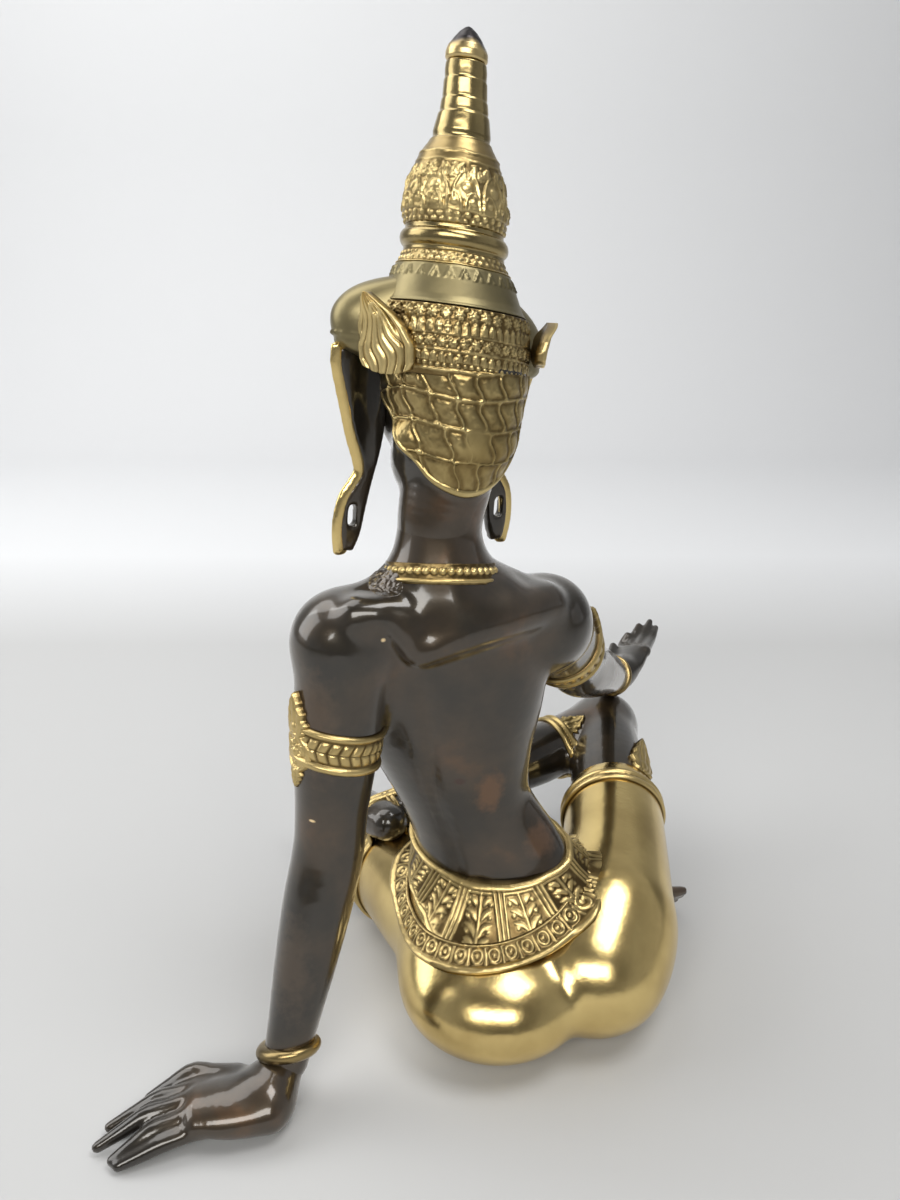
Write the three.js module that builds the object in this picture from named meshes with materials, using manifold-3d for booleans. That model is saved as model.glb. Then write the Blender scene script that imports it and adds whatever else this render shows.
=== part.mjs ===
import * as THREE from "three";
import { mergeVertices } from "three/addons/utils/BufferGeometryUtils.js";
import Module from "manifold-3d";

const wasm = await Module();
wasm.setup();

// A seated dancer with a tall crown, cast in one piece. Millimetres, +Z up, the floor at z = 0.
// The figure looks towards -Y and +X is its own left side.

// Joints of the body, worked from a total height of 400 mm
const joint = {
  pelvis: at(-36, 42, 38),
  beltTop: at(-28.9, 30, 63.7),
  waist: at(-15.7, 34, 104.3),
  chest: at(-8.4, 42, 155.5),
  neckBase: at(-5.8, 57, 212.8),
  neckTop: at(-5.1, 56, 231.9),
  head: at(-11.4, 50, 275.8),
  leftShoulder: at(31, 68, 186),
  leftElbow: at(39.6, 78, 102.5),
  leftWrist: at(57.2, 100.8, 20),
  rightShoulder: at(-48, 39, 184),
  rightElbow: at(-69.9, -22, 138),
  rightWrist: at(-99.8, -100, 98.7),
  leftHip: at(-21.6, 44, 33),
  leftKnee: at(41.2, -64.4, 20),
  leftAnkle: at(-61.6, 2, 14),
  leftToes: at(-124, -22, 9),
  rightHip: at(-85, 30, 37),
  rightKnee: at(-94.3, -94, 70.6),
  rightAnkle: at(24.7, -16.8, 60.1),
  rightToes: at(60, -78, 46),
};

// The head's own axes: it is turned to the figure's left and bowed a little forward
const HEAD_TURN = 30;
const CROWN_LEAN = at(-4.6, -12.1, 124.2);

// How far the finished figure is moved so that the middle of its footprint is the origin
const TO_ORIGIN = at(2.68, 6.71, 0);

// Steps around a limb, around a wide limb such as the torso, and around the crown
const LIMB_SIDES = 10;
const WIDE_SIDES = 16;
const CROWN_SIDES = 18;

// Radii of the legs at hip, knee, calf and ankle
const LEFT_LEG = { hip: 33, knee: 19, calf: 16.5, ankle: 10 };
const RIGHT_LEG = { hip: 29, knee: 17, calf: 16, ankle: 9.4 };

// Radius of the arms at shoulder, elbow and wrist, and of a finger and a toe at the root
const ARM = { shoulder: 18, elbow: 13, wrist: 8.6 };
const FINGER = 3.6;
const TOE = 2.9;

// The large leaves of the crown's bulb
const CROWN_LEAF = { count: 8, radius: 16.6, foot: 64, height: 13, width: 9, lean: 0.12, thickness: 1.8 };

// The ears: plates in the head's frame, with a slit in the lobe
const EAR = { back: -12, thickness: 5, slitX: 32.4, slitZ: -44, slitRadius: 2.4, slitStretch: 2.2 };

// The leaf-shaped wings behind the ears. The left one stands further to the front
const LEFT_WING = { radius: 27, foot: 8, width: 21, height: 29, forward: 9 };
const RIGHT_WING = { radius: 27, foot: 8, width: 21, height: 23, forward: 2 };
const WING_LEAN = 0.18;
const WING_THICKNESS = 3;

// Armlets, thigh hems and the rings below the knees: places along the limb, heights and swells
const ARMLET = { share: 0.5, girth: 16.6, height: 17, swell: 2.2 };
const BANGLE = { share: 0.92, girth: 9.2, height: 6, swell: 3 };
const RIGHT_HEM = { share: 0.46, girth: 25.5, height: 9, swell: 2.5 };
const LEFT_HEM = { share: 0.58, girth: 26, height: 9, swell: 2.5 };
const KNEE_RING = { share: 0.2, height: 8, swell: 2.4 };
const ANKLET = { share: 0.92, girth: 10, height: 6, swell: 2.6 };
const BELT = { turn: -23, swell: 2.4, upper: [35.5, 26, 12], lower: [46, 38, 9] };
const BELT_TILT = at(0.14, 0.3, 1).normalize();
const BELT_UPPER = at(-29.5, 34, 74);
const BELT_LOWER = at(-33, 39, 55);

function at(x, y, z) {
  return new THREE.Vector3(x, y, z);
}

function degrees(angle) {
  return THREE.MathUtils.degToRad(angle);
}

// The direction of the figure's own left when its front is turned by `turn` degrees to its left
function leftOf(turn) {
  return at(Math.cos(degrees(turn)), Math.sin(degrees(turn)), 0);
}

function between(a, b, share) {
  return a.clone().lerp(b, share);
}

// Turns a closed geometry into a solid for joining
function solid(geometry) {
  const plain = geometry.clone();
  plain.deleteAttribute("normal");
  plain.deleteAttribute("uv");
  const merged = mergeVertices(plain, 1e-3);
  const corners = [];
  for (let i = 0; i < merged.index.count; i += 3) {
    const [a, b, c] = [0, 1, 2].map((k) => merged.index.getX(i + k));
    if (a !== b && b !== c && c !== a) corners.push(a, b, c);
  }
  return new wasm.Manifold(new wasm.Mesh({
    numProp: 3,
    vertProperties: new Float32Array(merged.attributes.position.array),
    triVerts: new Uint32Array(corners),
  }));
}

// A closed skin over rings with the same number of points, ending in a point at each end
function skin(rings, startPoint, endPoint) {
  const sides = rings[0].length;
  const points = [startPoint, ...rings.flat(), endPoint];
  const last = points.length - 1;
  const faces = [];
  for (let k = 0; k < sides; k += 1) {
    const next = (k + 1) % sides;
    faces.push(0, 1 + next, 1 + k);
    for (let i = 0; i + 1 < rings.length; i += 1) {
      const low = 1 + i * sides;
      const high = low + sides;
      faces.push(low + k, low + next, high + next, low + k, high + next, high + k);
    }
    faces.push(last, last - sides + k, last - sides + next);
  }
  const geometry = new THREE.BufferGeometry();
  const numbers = points.flatMap((p) => p.toArray());
  geometry.setAttribute("position", new THREE.Float32BufferAttribute(numbers, 3));
  geometry.setIndex(faces);
  return geometry;
}

// One station of a limb: its centre, its half width along `side`, its half depth and the side's direction
function station(centre, wide, deep = wide, side = at(1, 0, 0)) {
  return { centre, wide, deep, side };
}

// A rounded limb through its stations, smooth along its length and domed at both ends
function limb(stations, steps, sides = LIMB_SIDES) {
  const path = new THREE.CatmullRomCurve3(stations.map((s) => s.centre), false, "catmullrom", 0.5);
  const sizes = stations.map((s) => at(s.wide, s.deep, 0));
  const girth = new THREE.CatmullRomCurve3(sizes, false, "catmullrom", 0.5);
  const width = new THREE.CatmullRomCurve3(stations.map((s) => s.side), false, "catmullrom", 0.5);
  const ring = (t, scale, shift) => {
    const along = path.getTangent(t).normalize();
    const across = width.getPoint(t).projectOnPlane(along).normalize();
    const through = along.clone().cross(across);
    const size = girth.getPoint(t);
    const centre = path.getPoint(t).addScaledVector(along, shift * Math.min(size.x, size.y));
    return Array.from({ length: sides }, (_, k) => {
      const angle = (2 * Math.PI * k) / sides;
      return centre.clone()
        .addScaledVector(across, scale * size.x * Math.cos(angle))
        .addScaledVector(through, scale * size.y * Math.sin(angle));
    });
  };
  const pole = (t, shift) => {
    const size = girth.getPoint(t);
    const along = path.getTangent(t).normalize();
    return path.getPoint(t).addScaledVector(along, shift * Math.min(size.x, size.y));
  };
  const rings = [ring(0, 0.72, -0.55)];
  for (let i = 0; i <= steps; i += 1) rings.push(ring(i / steps, 1, 0));
  rings.push(ring(1, 0.72, 0.55));
  return solid(skin(rings, pole(0, -0.8), pole(1, 0.8)));
}

function ellipsoid(centre, radii, across = 12, down = 8) {
  const geometry = new THREE.SphereGeometry(1, across, down);
  geometry.scale(radii.x, radii.y, radii.z);
  geometry.translate(centre.x, centre.y, centre.z);
  return solid(geometry);
}

function joined(parts) {
  return parts.reduce((whole, part) => whole.add(part));
}

// A band around a limb at `centre`, square to `along`: a ring of rounded section
function band(centre, along, wide, deep, height, swell, side = at(1, 0, 0), segments = 10) {
  const low = centre.clone().addScaledVector(along, -height / 2);
  const high = centre.clone().addScaledVector(along, height / 2);
  const across = side.clone().projectOnPlane(along).normalize();
  const through = along.clone().cross(across);
  const ring = (middle, extra) => Array.from({ length: segments }, (_, k) => {
    const angle = (2 * Math.PI * k) / segments;
    return middle.clone()
      .addScaledVector(across, (wide + extra) * Math.cos(angle))
      .addScaledVector(through, (deep + extra) * Math.sin(angle));
  });
  return solid(skin([ring(low, 0), ring(centre, swell), ring(high, 0)], low, high));
}

// A flat pointed leaf of `height`, standing at `foot` along `up` with its face towards `face`
function leaf(foot, up, face, width, height, thickness) {
  const outline = new THREE.Shape();
  outline.moveTo(-width * 0.3, 0);
  outline.quadraticCurveTo(-width * 0.75, height * 0.45, 0, height);
  outline.quadraticCurveTo(width * 0.75, height * 0.45, width * 0.3, 0);
  outline.closePath();
  const sheet = { depth: thickness, bevelEnabled: false, curveSegments: 2 };
  const geometry = new THREE.ExtrudeGeometry(outline, sheet);
  const rise = up.clone().normalize();
  const out = face.clone().projectOnPlane(rise).normalize();
  const across = rise.clone().cross(out);
  geometry.applyMatrix4(new THREE.Matrix4().makeBasis(across, rise, out).setPosition(foot));
  return solid(geometry);
}

// Head frame: x to the head's left, y to its back, z up the crown
function headFrame() {
  const up = CROWN_LEAN.clone().normalize();
  const left = leftOf(HEAD_TURN).projectOnPlane(up).normalize();
  const back = up.clone().cross(left);
  return new THREE.Matrix4().makeBasis(left, back, up).setPosition(joint.head);
}

const HEAD = headFrame();

function inHead(x, y, z) {
  return at(x, y, z).applyMatrix4(HEAD);
}

function headDirection(x, y, z) {
  return at(x, y, z).transformDirection(HEAD);
}

// Torso from the hips to the neck: it leans to the left and twists from facing right to facing left
function torso() {
  return limb([
    station(at(-34, 38, 40), 44, 30, leftOf(-22)),
    station(joint.beltTop, 36, 27, leftOf(-24)),
    station(at(-23, 31, 84), 31, 24.5, leftOf(-25)),
    station(joint.waist, 30, 23, leftOf(-22)),
    station(at(-11, 38, 130), 35.5, 25.5, leftOf(-10)),
    station(joint.chest, 42, 28, leftOf(4)),
    station(at(-8, 49, 178), 43, 26, leftOf(14)),
    station(at(-7, 54, 194), 33, 21, leftOf(18)),
    station(at(-6, 57, 206), 21, 17.5, leftOf(18)),
  ], 9, WIDE_SIDES);
}

function shoulders() {
  const collarHeight = at(-7, 53, 192);
  return joined([joint.leftShoulder, joint.rightShoulder].map((end) => limb([
    station(collarHeight, 17),
    station(between(collarHeight, end, 0.55), 18, 17),
    station(end, ARM.shoulder),
  ], 3)));
}

function arm(shoulder, elbow, wrist) {
  return limb([
    station(shoulder, ARM.shoulder),
    station(between(shoulder, elbow, 0.5), 16.6),
    station(between(shoulder, elbow, 0.78), 14.4),
    station(elbow, ARM.elbow),
    station(between(elbow, wrist, 0.25), ARM.elbow),
    station(between(elbow, wrist, 0.6), 10.8),
    station(wrist, ARM.wrist),
  ], 6);
}

// A finger through its knuckle, middle and tip
function finger(points, thickness, sides = 6) {
  return limb([
    station(points[0], thickness),
    station(points[1], thickness * 0.9),
    station(points[2], thickness * 0.62),
  ], 2, sides);
}

// The left hand lies flat on the floor behind the seat, fingers pointing out to the figure's left
function leftHand() {
  const heel = at(66, 117, 11);
  const knuckles = at(91, 118.5, 11);
  const palmSide = at(0.15, 1, 0);
  const fingerEnds = [
    { knuckle: at(89, 108.5, 13), middle: at(107, 114, 11), tip: at(123.4, 120.2, 3.6) },
    { knuckle: at(92, 115, 12.5), middle: at(110, 122, 10.5), tip: at(125.5, 129.9, 3.6) },
    { knuckle: at(91, 121.5, 11), middle: at(105, 128, 9), tip: at(118, 136, 3.4) },
    { knuckle: at(89, 127, 8.5), middle: at(102, 132.5, 7), tip: at(115.2, 138.3, 3.2) },
  ];
  const thumb = [at(78, 103, 15), at(94, 102.5, 13), at(111.3, 106, 4)];
  return joined([
    limb([station(joint.leftWrist, ARM.wrist, 9.5), station(between(joint.leftWrist, heel, 0.5), 10, 11),
      station(heel, 11, 12)], 2),
    limb([station(heel, 13, 11, palmSide), station(at(78, 117, 11.5), 15, 9.5, palmSide),
      station(knuckles, 13.5, 6.5, palmSide)], 5),
    finger(thumb, FINGER * 1.2),
    ...fingerEnds.map((f) => finger([f.knuckle, f.middle, f.tip], FINGER)),
  ]);
}

// The right hand rises from the knee with its fingers together, bent back a little
function rightHand() {
  const knuckles = at(-113.5, -126, 102);
  const across = at(-0.75, 0.45, 0.25).normalize();
  const tips = [
    at(-112.9, -141, 106.5),
    at(-120.5, -148, 109.5),
    at(-127.5, -152, 110.5),
    at(-131, -151, 107),
  ];
  const fingers = tips.map((tip, k) => {
    const knuckle = knuckles.clone().addScaledVector(across, (k - 1.5) * 5.2);
    const middle = between(knuckle, tip, 0.5).add(at(0, -1.5, -1.2));
    return finger([knuckle, middle, tip], FINGER * 0.9);
  });
  return joined([
    limb([station(joint.rightWrist, ARM.wrist, 8, across), station(at(-105, -110, 98), 10.5, 7, across),
      station(knuckles, 10.5, 4.6, across)], 5),
    finger([at(-101, -108, 97), at(-101.5, -119, 101), at(-103, -129, 104.5)], FINGER),
    ...fingers,
  ]);
}

function leg(hip, knee, ankle, girth) {
  const thigh = limb([
    station(hip, girth.hip),
    station(between(hip, knee, 0.35), girth.hip * 0.88),
    station(between(hip, knee, 0.65), girth.hip * 0.76),
    station(between(hip, knee, 0.86), girth.knee * 1.22),
    station(knee, girth.knee),
  ], 4);
  const shin = limb([
    station(knee, girth.knee),
    station(between(knee, ankle, 0.3), girth.calf),
    station(between(knee, ankle, 0.65), (girth.calf + girth.ankle) / 2),
    station(ankle, girth.ankle),
  ], 4);
  return thigh.add(shin);
}

// A foot from the ankle to a row of five toes
function foot(ankle, toes, across) {
  const side = across.clone().normalize();
  const ball = between(ankle, toes, 0.62);
  const heel = ankle.clone().addScaledVector(toes.clone().sub(ankle).normalize(), -9);
  const toeRow = [-2, -1, 0, 1, 2].map((k) => {
    const root = ball.clone().addScaledVector(side, k * 4.1);
    const tip = toes.clone().addScaledVector(side, k * 3.6);
    return finger([root, between(root, tip, 0.55), tip], TOE, 5);
  });
  return joined([
    limb([station(heel, 9, 9.5, side), station(ankle, 10, 10.5, side),
      station(between(ankle, toes, 0.35), 9.5, 8.5, side), station(ball, 10.5, 6, side)], 3),
    ...toeRow,
  ]);
}

// Seat and trousers: the mass of the seat with the right thigh's root beside it
function seat() {
  return joined([
    ellipsoid(at(-29.5, 60, 28.4), at(42, 43, 30.6)),
    ellipsoid(at(-72, 52, 31), at(34, 37, 31)),
    ellipsoid(at(-42, 32, 36), at(44, 36, 34)),
  ]);
}

function neckAndHead() {
  const neck = limb([
    station(joint.neckBase, 18.5, 17.5),
    station(joint.neckTop, 16, 15.6),
    station(inHead(0, 2, -24), 16.5, 16.5),
  ], 3, 11);
  const left = headDirection(1, 0, 0);
  const rings = [[-37, -17, 7, 6.5], [-33, -14, 12.5, 11.5], [-26, -8, 18, 19], [-17, -3.5, 21.5, 24],
    [-5, -1, 24, 27], [8, 0, 25, 28.5], [24, 0, 25, 28]];
  const head = limb(rings.map(([z, y, wide, deep]) => station(inHead(0, y, z), wide, deep, left)), 6, 14);
  const nose = limb([
    station(inHead(0, -25.5, 4), 2.2, 2),
    station(inHead(0, -28.6, -6), 2.8, 2.6),
    station(inHead(0, -29.8, -12), 4, 2.8),
  ], 2, 6);
  const lips = limb([-5.5, 0, 5.5].map((x) => station(inHead(x, -24.2 + Math.abs(x) * 0.28, -20), 2.2, 1.8,
    headDirection(0, 0, 1))), 2, 6);
  return joined([neck, head, nose, lips]);
}

// The stepped crown, as radii against heights on the head's axis
function crown() {
  const tiers = [[0, -6], [26, -6], [28.4, 8], [28.8, 20], [27.6, 31], [23.8, 39], [21.6, 44]];
  const ring = [[18.2, 50], [19.4, 54], [17.4, 58]];
  const bulb = [[18.4, 61], [18.4, 68], [14.8, 80], [13.4, 84.5], [10.2, 89]];
  const spire = [[8.8, 97], [7.8, 99], [8, 106], [6.9, 108.5], [7.2, 112], [6.2, 113.5], [6.9, 116]];
  const profile = [...tiers, ...ring, ...bulb, ...spire, [4.6, 120.8], [0, 124.9]];
  const geometry = new THREE.LatheGeometry(profile.map(([r, z]) => new THREE.Vector2(r, z)), CROWN_SIDES);
  geometry.rotateX(Math.PI / 2);
  geometry.applyMatrix4(HEAD);
  return solid(geometry);
}

// The ring of large leaves around the crown's bulb
function crownLeaves() {
  return joined(Array.from({ length: CROWN_LEAF.count }, (_, k) => {
    const angle = (2 * Math.PI * (k + 0.5)) / CROWN_LEAF.count;
    const out = headDirection(Math.cos(angle), Math.sin(angle), 0);
    const { radius, foot, width, height, lean, thickness } = CROWN_LEAF;
    const root = inHead(radius * Math.cos(angle), radius * Math.sin(angle), foot);
    return leaf(root, headDirection(0, 0, 1).addScaledVector(out, lean), out, width, height, thickness);
  }));
}

// The hair net over the nape, drawn to a rounded point
function hairNet() {
  const rings = [[-32, 8, 6, 6], [-27, 6.5, 13, 13.5], [-12, 3, 22, 23], [10, 0, 27, 28.4]];
  const left = headDirection(1, 0, 0);
  return limb(rings.map(([z, y, wide, deep]) => station(inHead(0, y, z), wide, deep, left)), 3, 11);
}

// The domed brim over the forehead, cut away behind and below
function brim() {
  const rings = [[9, -4, 32, 28], [15, -4, 41, 34], [24, -4, 44, 36], [34, -4, 39, 33], [42, -4, 25, 23]];
  const left = headDirection(1, 0, 0);
  const whole = limb(rings.map(([z, y, wide, deep]) => station(inHead(0, y, z), wide, deep, left)), 3, 11);
  const behind = new THREE.BoxGeometry(120, 60, 80).translate(0, 29, 20).applyMatrix4(HEAD);
  const below = new THREE.BoxGeometry(120, 80, 40).translate(0, 0, -12).applyMatrix4(HEAD);
  return whole.subtract(solid(behind)).subtract(solid(below));
}

// A long ear with its slit lobe on the shoulder. side is 1 for the left, -1 for the right
function ear(side) {
  const outline = new THREE.Shape();
  outline.moveTo(side * 20, 22);
  outline.lineTo(side * 41.5, 18);
  outline.quadraticCurveTo(side * 37, -2, side * 31, -27);
  outline.quadraticCurveTo(side * 39.5, -40, side * 37.5, -57);
  outline.lineTo(side * 30.5, -57);
  outline.quadraticCurveTo(side * 26.5, -38, side * 18, -22);
  outline.closePath();
  const sheet = { depth: EAR.thickness, bevelEnabled: false, curveSegments: 3 };
  const plate = new THREE.ExtrudeGeometry(outline, sheet);
  const upright = new THREE.Matrix4().makeBasis(at(1, 0, 0), at(0, 0, 1), at(0, -1, 0));
  upright.setPosition(0, EAR.back, 0);
  const slit = new THREE.CylinderGeometry(EAR.slitRadius, EAR.slitRadius, EAR.thickness * 4, 8)
    .scale(1, 1, EAR.slitStretch)
    .translate(side * EAR.slitX, EAR.back - EAR.thickness / 2, EAR.slitZ);
  return solid(plate.applyMatrix4(upright).applyMatrix4(HEAD)).subtract(solid(slit.applyMatrix4(HEAD)));
}

// The leaf-shaped wing behind each ear, set flat against the crown's band and moved to the front
function wing(side, { radius, foot, width, height, forward }) {
  const out = leftOf(90 - side * 60);
  const front = at(side * out.y, -side * out.x, 0).multiplyScalar(forward);
  const root = inHead(out.x * radius + front.x, out.y * radius + front.y, foot);
  const rise = headDirection(out.x * WING_LEAN, out.y * WING_LEAN, 1);
  return leaf(root, rise, headDirection(out.x, out.y, 0), width, height, WING_THICKNESS);
}

// The belt: a narrow band at the waist over a wider one that follows the top of the seat
function belt() {
  const side = leftOf(BELT.turn);
  return joined([
    band(BELT_UPPER, BELT_TILT, ...BELT.upper, BELT.swell, side, 12),
    band(BELT_LOWER, BELT_TILT, ...BELT.lower, BELT.swell, side, 12),
  ]);
}

// A ring around the limb from a to b, where that limb has the radius `girth`
function ringOn(a, b, ring, girth = ring.girth) {
  const along = b.clone().sub(a).normalize();
  return band(between(a, b, ring.share), along, girth, girth, ring.height, ring.swell);
}

// A flame-shaped leaf outside a limb, rising along `along`
function flame(centre, along, out, girth, width, height) {
  const away = out.clone().projectOnPlane(along).normalize();
  const foot = centre.clone().addScaledVector(away, girth - 1.5);
  return leaf(foot, along.clone().addScaledVector(away, 0.15), away, width, height, 3);
}

// The bead collar at the foot of the neck
function collar() {
  return band(at(-6, 57.5, 207.5), at(-0.02, -0.3, 1).normalize(), 21.5, 19.5, 7, 2.4, leftOf(18), 14);
}

function ornaments() {
  const j = joint;
  const leftOut = at(0.9, 0.42, 0.1).normalize();
  const rightOut = at(-0.9, 0.3, 0.3).normalize();
  const thighOut = at(-0.8, -0.1, 0.6).normalize();
  const thighRise = j.rightKnee.clone().sub(j.rightHip).normalize();
  return joined([
    collar(),
    ringOn(j.leftShoulder, j.leftElbow, ARMLET),
    ringOn(j.rightShoulder, j.rightElbow, ARMLET),
    flame(between(j.leftShoulder, j.leftElbow, ARMLET.share), at(0, 0, 1), leftOut, 17, 12, 26),
    flame(between(j.rightShoulder, j.rightElbow, ARMLET.share), at(0.2, 0.6, 0.7), rightOut, 17, 12, 24),
    ringOn(j.leftElbow, j.leftWrist, BANGLE),
    ringOn(j.rightElbow, j.rightWrist, BANGLE),
    ringOn(j.rightHip, j.rightKnee, RIGHT_HEM),
    ringOn(j.leftHip, j.leftKnee, LEFT_HEM),
    flame(between(j.rightHip, j.rightKnee, RIGHT_HEM.share), thighRise, thighOut, 25, 14, 24),
    ringOn(j.rightKnee, j.rightAnkle, KNEE_RING, 16.6),
    ringOn(j.leftKnee, j.leftAnkle, KNEE_RING, 17.4),
    ringOn(j.rightKnee, j.rightAnkle, ANKLET),
    ringOn(j.leftKnee, j.leftAnkle, ANKLET),
  ]);
}

// Everything cast together, cut flat where it stands
function castFigure() {
  const floor = solid(new THREE.BoxGeometry(600, 600, 60).translate(0, 0, -30));
  const j = joint;
  return joined([
    torso(),
    shoulders(),
    arm(j.leftShoulder, j.leftElbow, j.leftWrist),
    arm(j.rightShoulder, j.rightElbow, j.rightWrist),
    leftHand(),
    rightHand(),
    leg(j.leftHip, j.leftKnee, j.leftAnkle, LEFT_LEG),
    leg(j.rightHip, j.rightKnee, j.rightAnkle, RIGHT_LEG),
    foot(j.leftAnkle, j.leftToes, at(0.1, 0.5, 0.85)),
    foot(j.rightAnkle, j.rightToes, at(0.19, -0.18, 0.97)),
    seat(),
    neckAndHead(),
    hairNet(),
    brim(),
    crown(),
    crownLeaves(),
    ear(1),
    ear(-1),
    wing(1, LEFT_WING),
    wing(-1, RIGHT_WING),
    belt(),
    ornaments(),
  ]).subtract(floor);
}

// A named mesh from a solid, moved so that the figure stands over the origin
function namedMesh(name, shape, material) {
  const { vertProperties, triVerts } = shape.getMesh();
  const geometry = new THREE.BufferGeometry();
  geometry.setAttribute("position", new THREE.BufferAttribute(new Float32Array(vertProperties), 3));
  geometry.setIndex(new THREE.BufferAttribute(new Uint32Array(triVerts), 1));
  const mesh = new THREE.Mesh(geometry, material);
  mesh.name = name;
  mesh.position.copy(TO_ORIGIN);
  return mesh;
}

const bronze = new THREE.MeshStandardMaterial({ color: 0x4a3f3a, roughness: 0.35, metalness: 1 });
const object = new THREE.Group();
object.add(namedMesh("dancer_figure", castFigure(), bronze));

export default object;
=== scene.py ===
import math

import bpy
import bmesh
import numpy as np
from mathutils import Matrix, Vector


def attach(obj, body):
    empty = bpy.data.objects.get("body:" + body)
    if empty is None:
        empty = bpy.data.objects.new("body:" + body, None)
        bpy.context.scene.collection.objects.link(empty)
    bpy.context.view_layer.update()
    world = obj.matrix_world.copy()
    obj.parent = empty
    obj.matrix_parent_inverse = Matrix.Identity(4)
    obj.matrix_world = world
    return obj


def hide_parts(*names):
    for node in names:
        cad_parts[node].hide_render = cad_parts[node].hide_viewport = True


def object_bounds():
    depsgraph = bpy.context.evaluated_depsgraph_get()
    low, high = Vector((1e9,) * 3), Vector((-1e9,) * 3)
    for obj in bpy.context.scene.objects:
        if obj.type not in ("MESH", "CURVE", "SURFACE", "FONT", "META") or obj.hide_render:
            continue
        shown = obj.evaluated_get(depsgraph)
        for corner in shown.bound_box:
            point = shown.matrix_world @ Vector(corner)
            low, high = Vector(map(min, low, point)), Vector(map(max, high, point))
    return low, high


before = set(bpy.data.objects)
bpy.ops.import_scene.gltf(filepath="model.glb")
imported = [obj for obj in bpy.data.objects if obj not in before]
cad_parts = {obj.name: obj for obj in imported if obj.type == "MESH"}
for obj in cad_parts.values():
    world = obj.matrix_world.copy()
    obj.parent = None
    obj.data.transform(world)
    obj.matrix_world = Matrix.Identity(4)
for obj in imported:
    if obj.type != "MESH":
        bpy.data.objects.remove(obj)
CAD_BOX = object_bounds()

# Shapes are worked out in millimetres, in the casting's own axes: the figure looks towards -Y, its left is +X
HEIGHT = 400.0
MM = (CAD_BOX[1][2] - CAD_BOX[0][2]) / HEIGHT
TO_ORIGIN = np.array([2.68, 6.71, 0.0])
ROOT = "root"
NODE = "dancer_figure"
DARK = "dark_bronze"


def vec(*values):
    return np.array(values, float)


def unit(v):
    v = np.asarray(v, float)
    return v / np.linalg.norm(v)


def mix(a, b, share):
    return np.asarray(a, float) * (1 - share) + np.asarray(b, float) * share


def dot(x, y, z, axis):
    return x * axis[0] + y * axis[1] + z * axis[2]


def smoothstep(low, high, value):
    t = np.clip((value - low) / (high - low), 0, 1)
    return t * t * (3 - 2 * t)


def in_frame(points):
    """Points of the casting, in metres in the frame's axes."""
    return (np.asarray(points) + TO_ORIGIN) * MM


def left_of(turn):
    """The direction of the figure's left where its front is turned by `turn` degrees to its left."""
    return vec(math.cos(math.radians(turn)), math.sin(math.radians(turn)), 0)


def spline(rows, count):
    """A smooth run through the rows of any table, as `count` rows."""
    rows = np.asarray(rows, float)
    padded = np.vstack([2 * rows[0] - rows[1], rows, 2 * rows[-1] - rows[-2]])
    place = np.linspace(0, len(rows) - 1 - 1e-9, count)
    k = place.astype(int)
    t = (place - k)[:, None]
    a, b, c, d = (padded[k + i] for i in range(4))
    square, cube = 2 * a - 5 * b + 4 * c - d, 3 * b - a - 3 * c + d
    return 0.5 * (2 * b + (c - a) * t + square * t ** 2 + cube * t ** 3)


def softened(grid, times):
    """A grid of heights, each moved `times` times towards the mean of its neighbours."""
    for _ in range(times):
        padded = np.pad(grid, 1, mode="edge")
        grid = (padded[:-2, 1:-1] + padded[2:, 1:-1] + padded[1:-1, :-2] + padded[1:-1, 2:] + 4 * grid) / 8
    return grid


# Joints of the body
L_SHOULDER, L_ELBOW, L_WRIST = vec(30.5, 68, 187), vec(38.6, 78, 102.5), vec(56.4, 100.8, 20)
R_SHOULDER, R_ELBOW, R_WRIST = vec(-48, 38, 184), vec(-69.9, -22, 138), vec(-99.8, -100, 98.7)
L_HIP, L_KNEE, L_ANKLE = vec(-21.6, 44, 33), vec(41.2, -64.4, 22), vec(-61.6, 2, 14)
R_HIP, R_KNEE, R_ANKLE = vec(-85, 30, 37), vec(-94.3, -94, 70.6), vec(24.7, -16.8, 60.1)
L_TOES, R_TOES = vec(-124, -22, 9), vec(60, -78, 46)

# The head's axes: turned 30 degrees to the figure's left and bowed a little
HEAD = vec(-11.4, 50, 275.8)
CROWN_UP = unit(vec(-4.6, -12.1, 124.2))
HEAD_LEFT = unit(left_of(30) - CROWN_UP * (left_of(30) @ CROWN_UP))
HEAD_BACK = np.cross(CROWN_UP, HEAD_LEFT)
HEAD_AXES = [HEAD_LEFT, HEAD_BACK, CROWN_UP]


def in_head(x, y, z):
    """A place given by the head's left, back and up."""
    parts = [np.multiply.outer(value, axis) for value, axis in zip((x, y, z), HEAD_AXES)]
    return HEAD + parts[0] + parts[1] + parts[2]


def head_turned(x, y, z):
    return x * HEAD_LEFT + y * HEAD_BACK + z * CROWN_UP


# Finishes

# Marks that the old surface shows: place, reach on each axis, colour
MARKS = [
    ((-25.9, 59.5, 118.0), (6.0, 6.0, 11.0), (0.13, 0.067, 0.030)),
    ((-13.6, 62.4, 124.2), (2.6, 4.0, 1.8), (0.045, 0.018, 0.010)),
    ((-47.0, 50.0, 90.0), (7.0, 8.0, 8.0), (0.12, 0.070, 0.040)),
    ((41.0, 84.0, 160.0), (10.0, 12.0, 22.0), (0.075, 0.050, 0.030)),
    ((52.0, 98.0, 60.0), (8.0, 10.0, 24.0), (0.060, 0.043, 0.028)),
    ((14.8, 81.9, 193.8), (0.9, 2.0, 0.9), (0.90, 0.70, 0.40)),
    ((43.0, 88.8, 122.2), (1.5, 2.0, 0.6), (0.90, 0.70, 0.40)),
]
NOISE_ROUGHNESS = 0.55
PIT_DEPTH = 0.0004
GLOSS_SPREAD = 0.14


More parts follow.
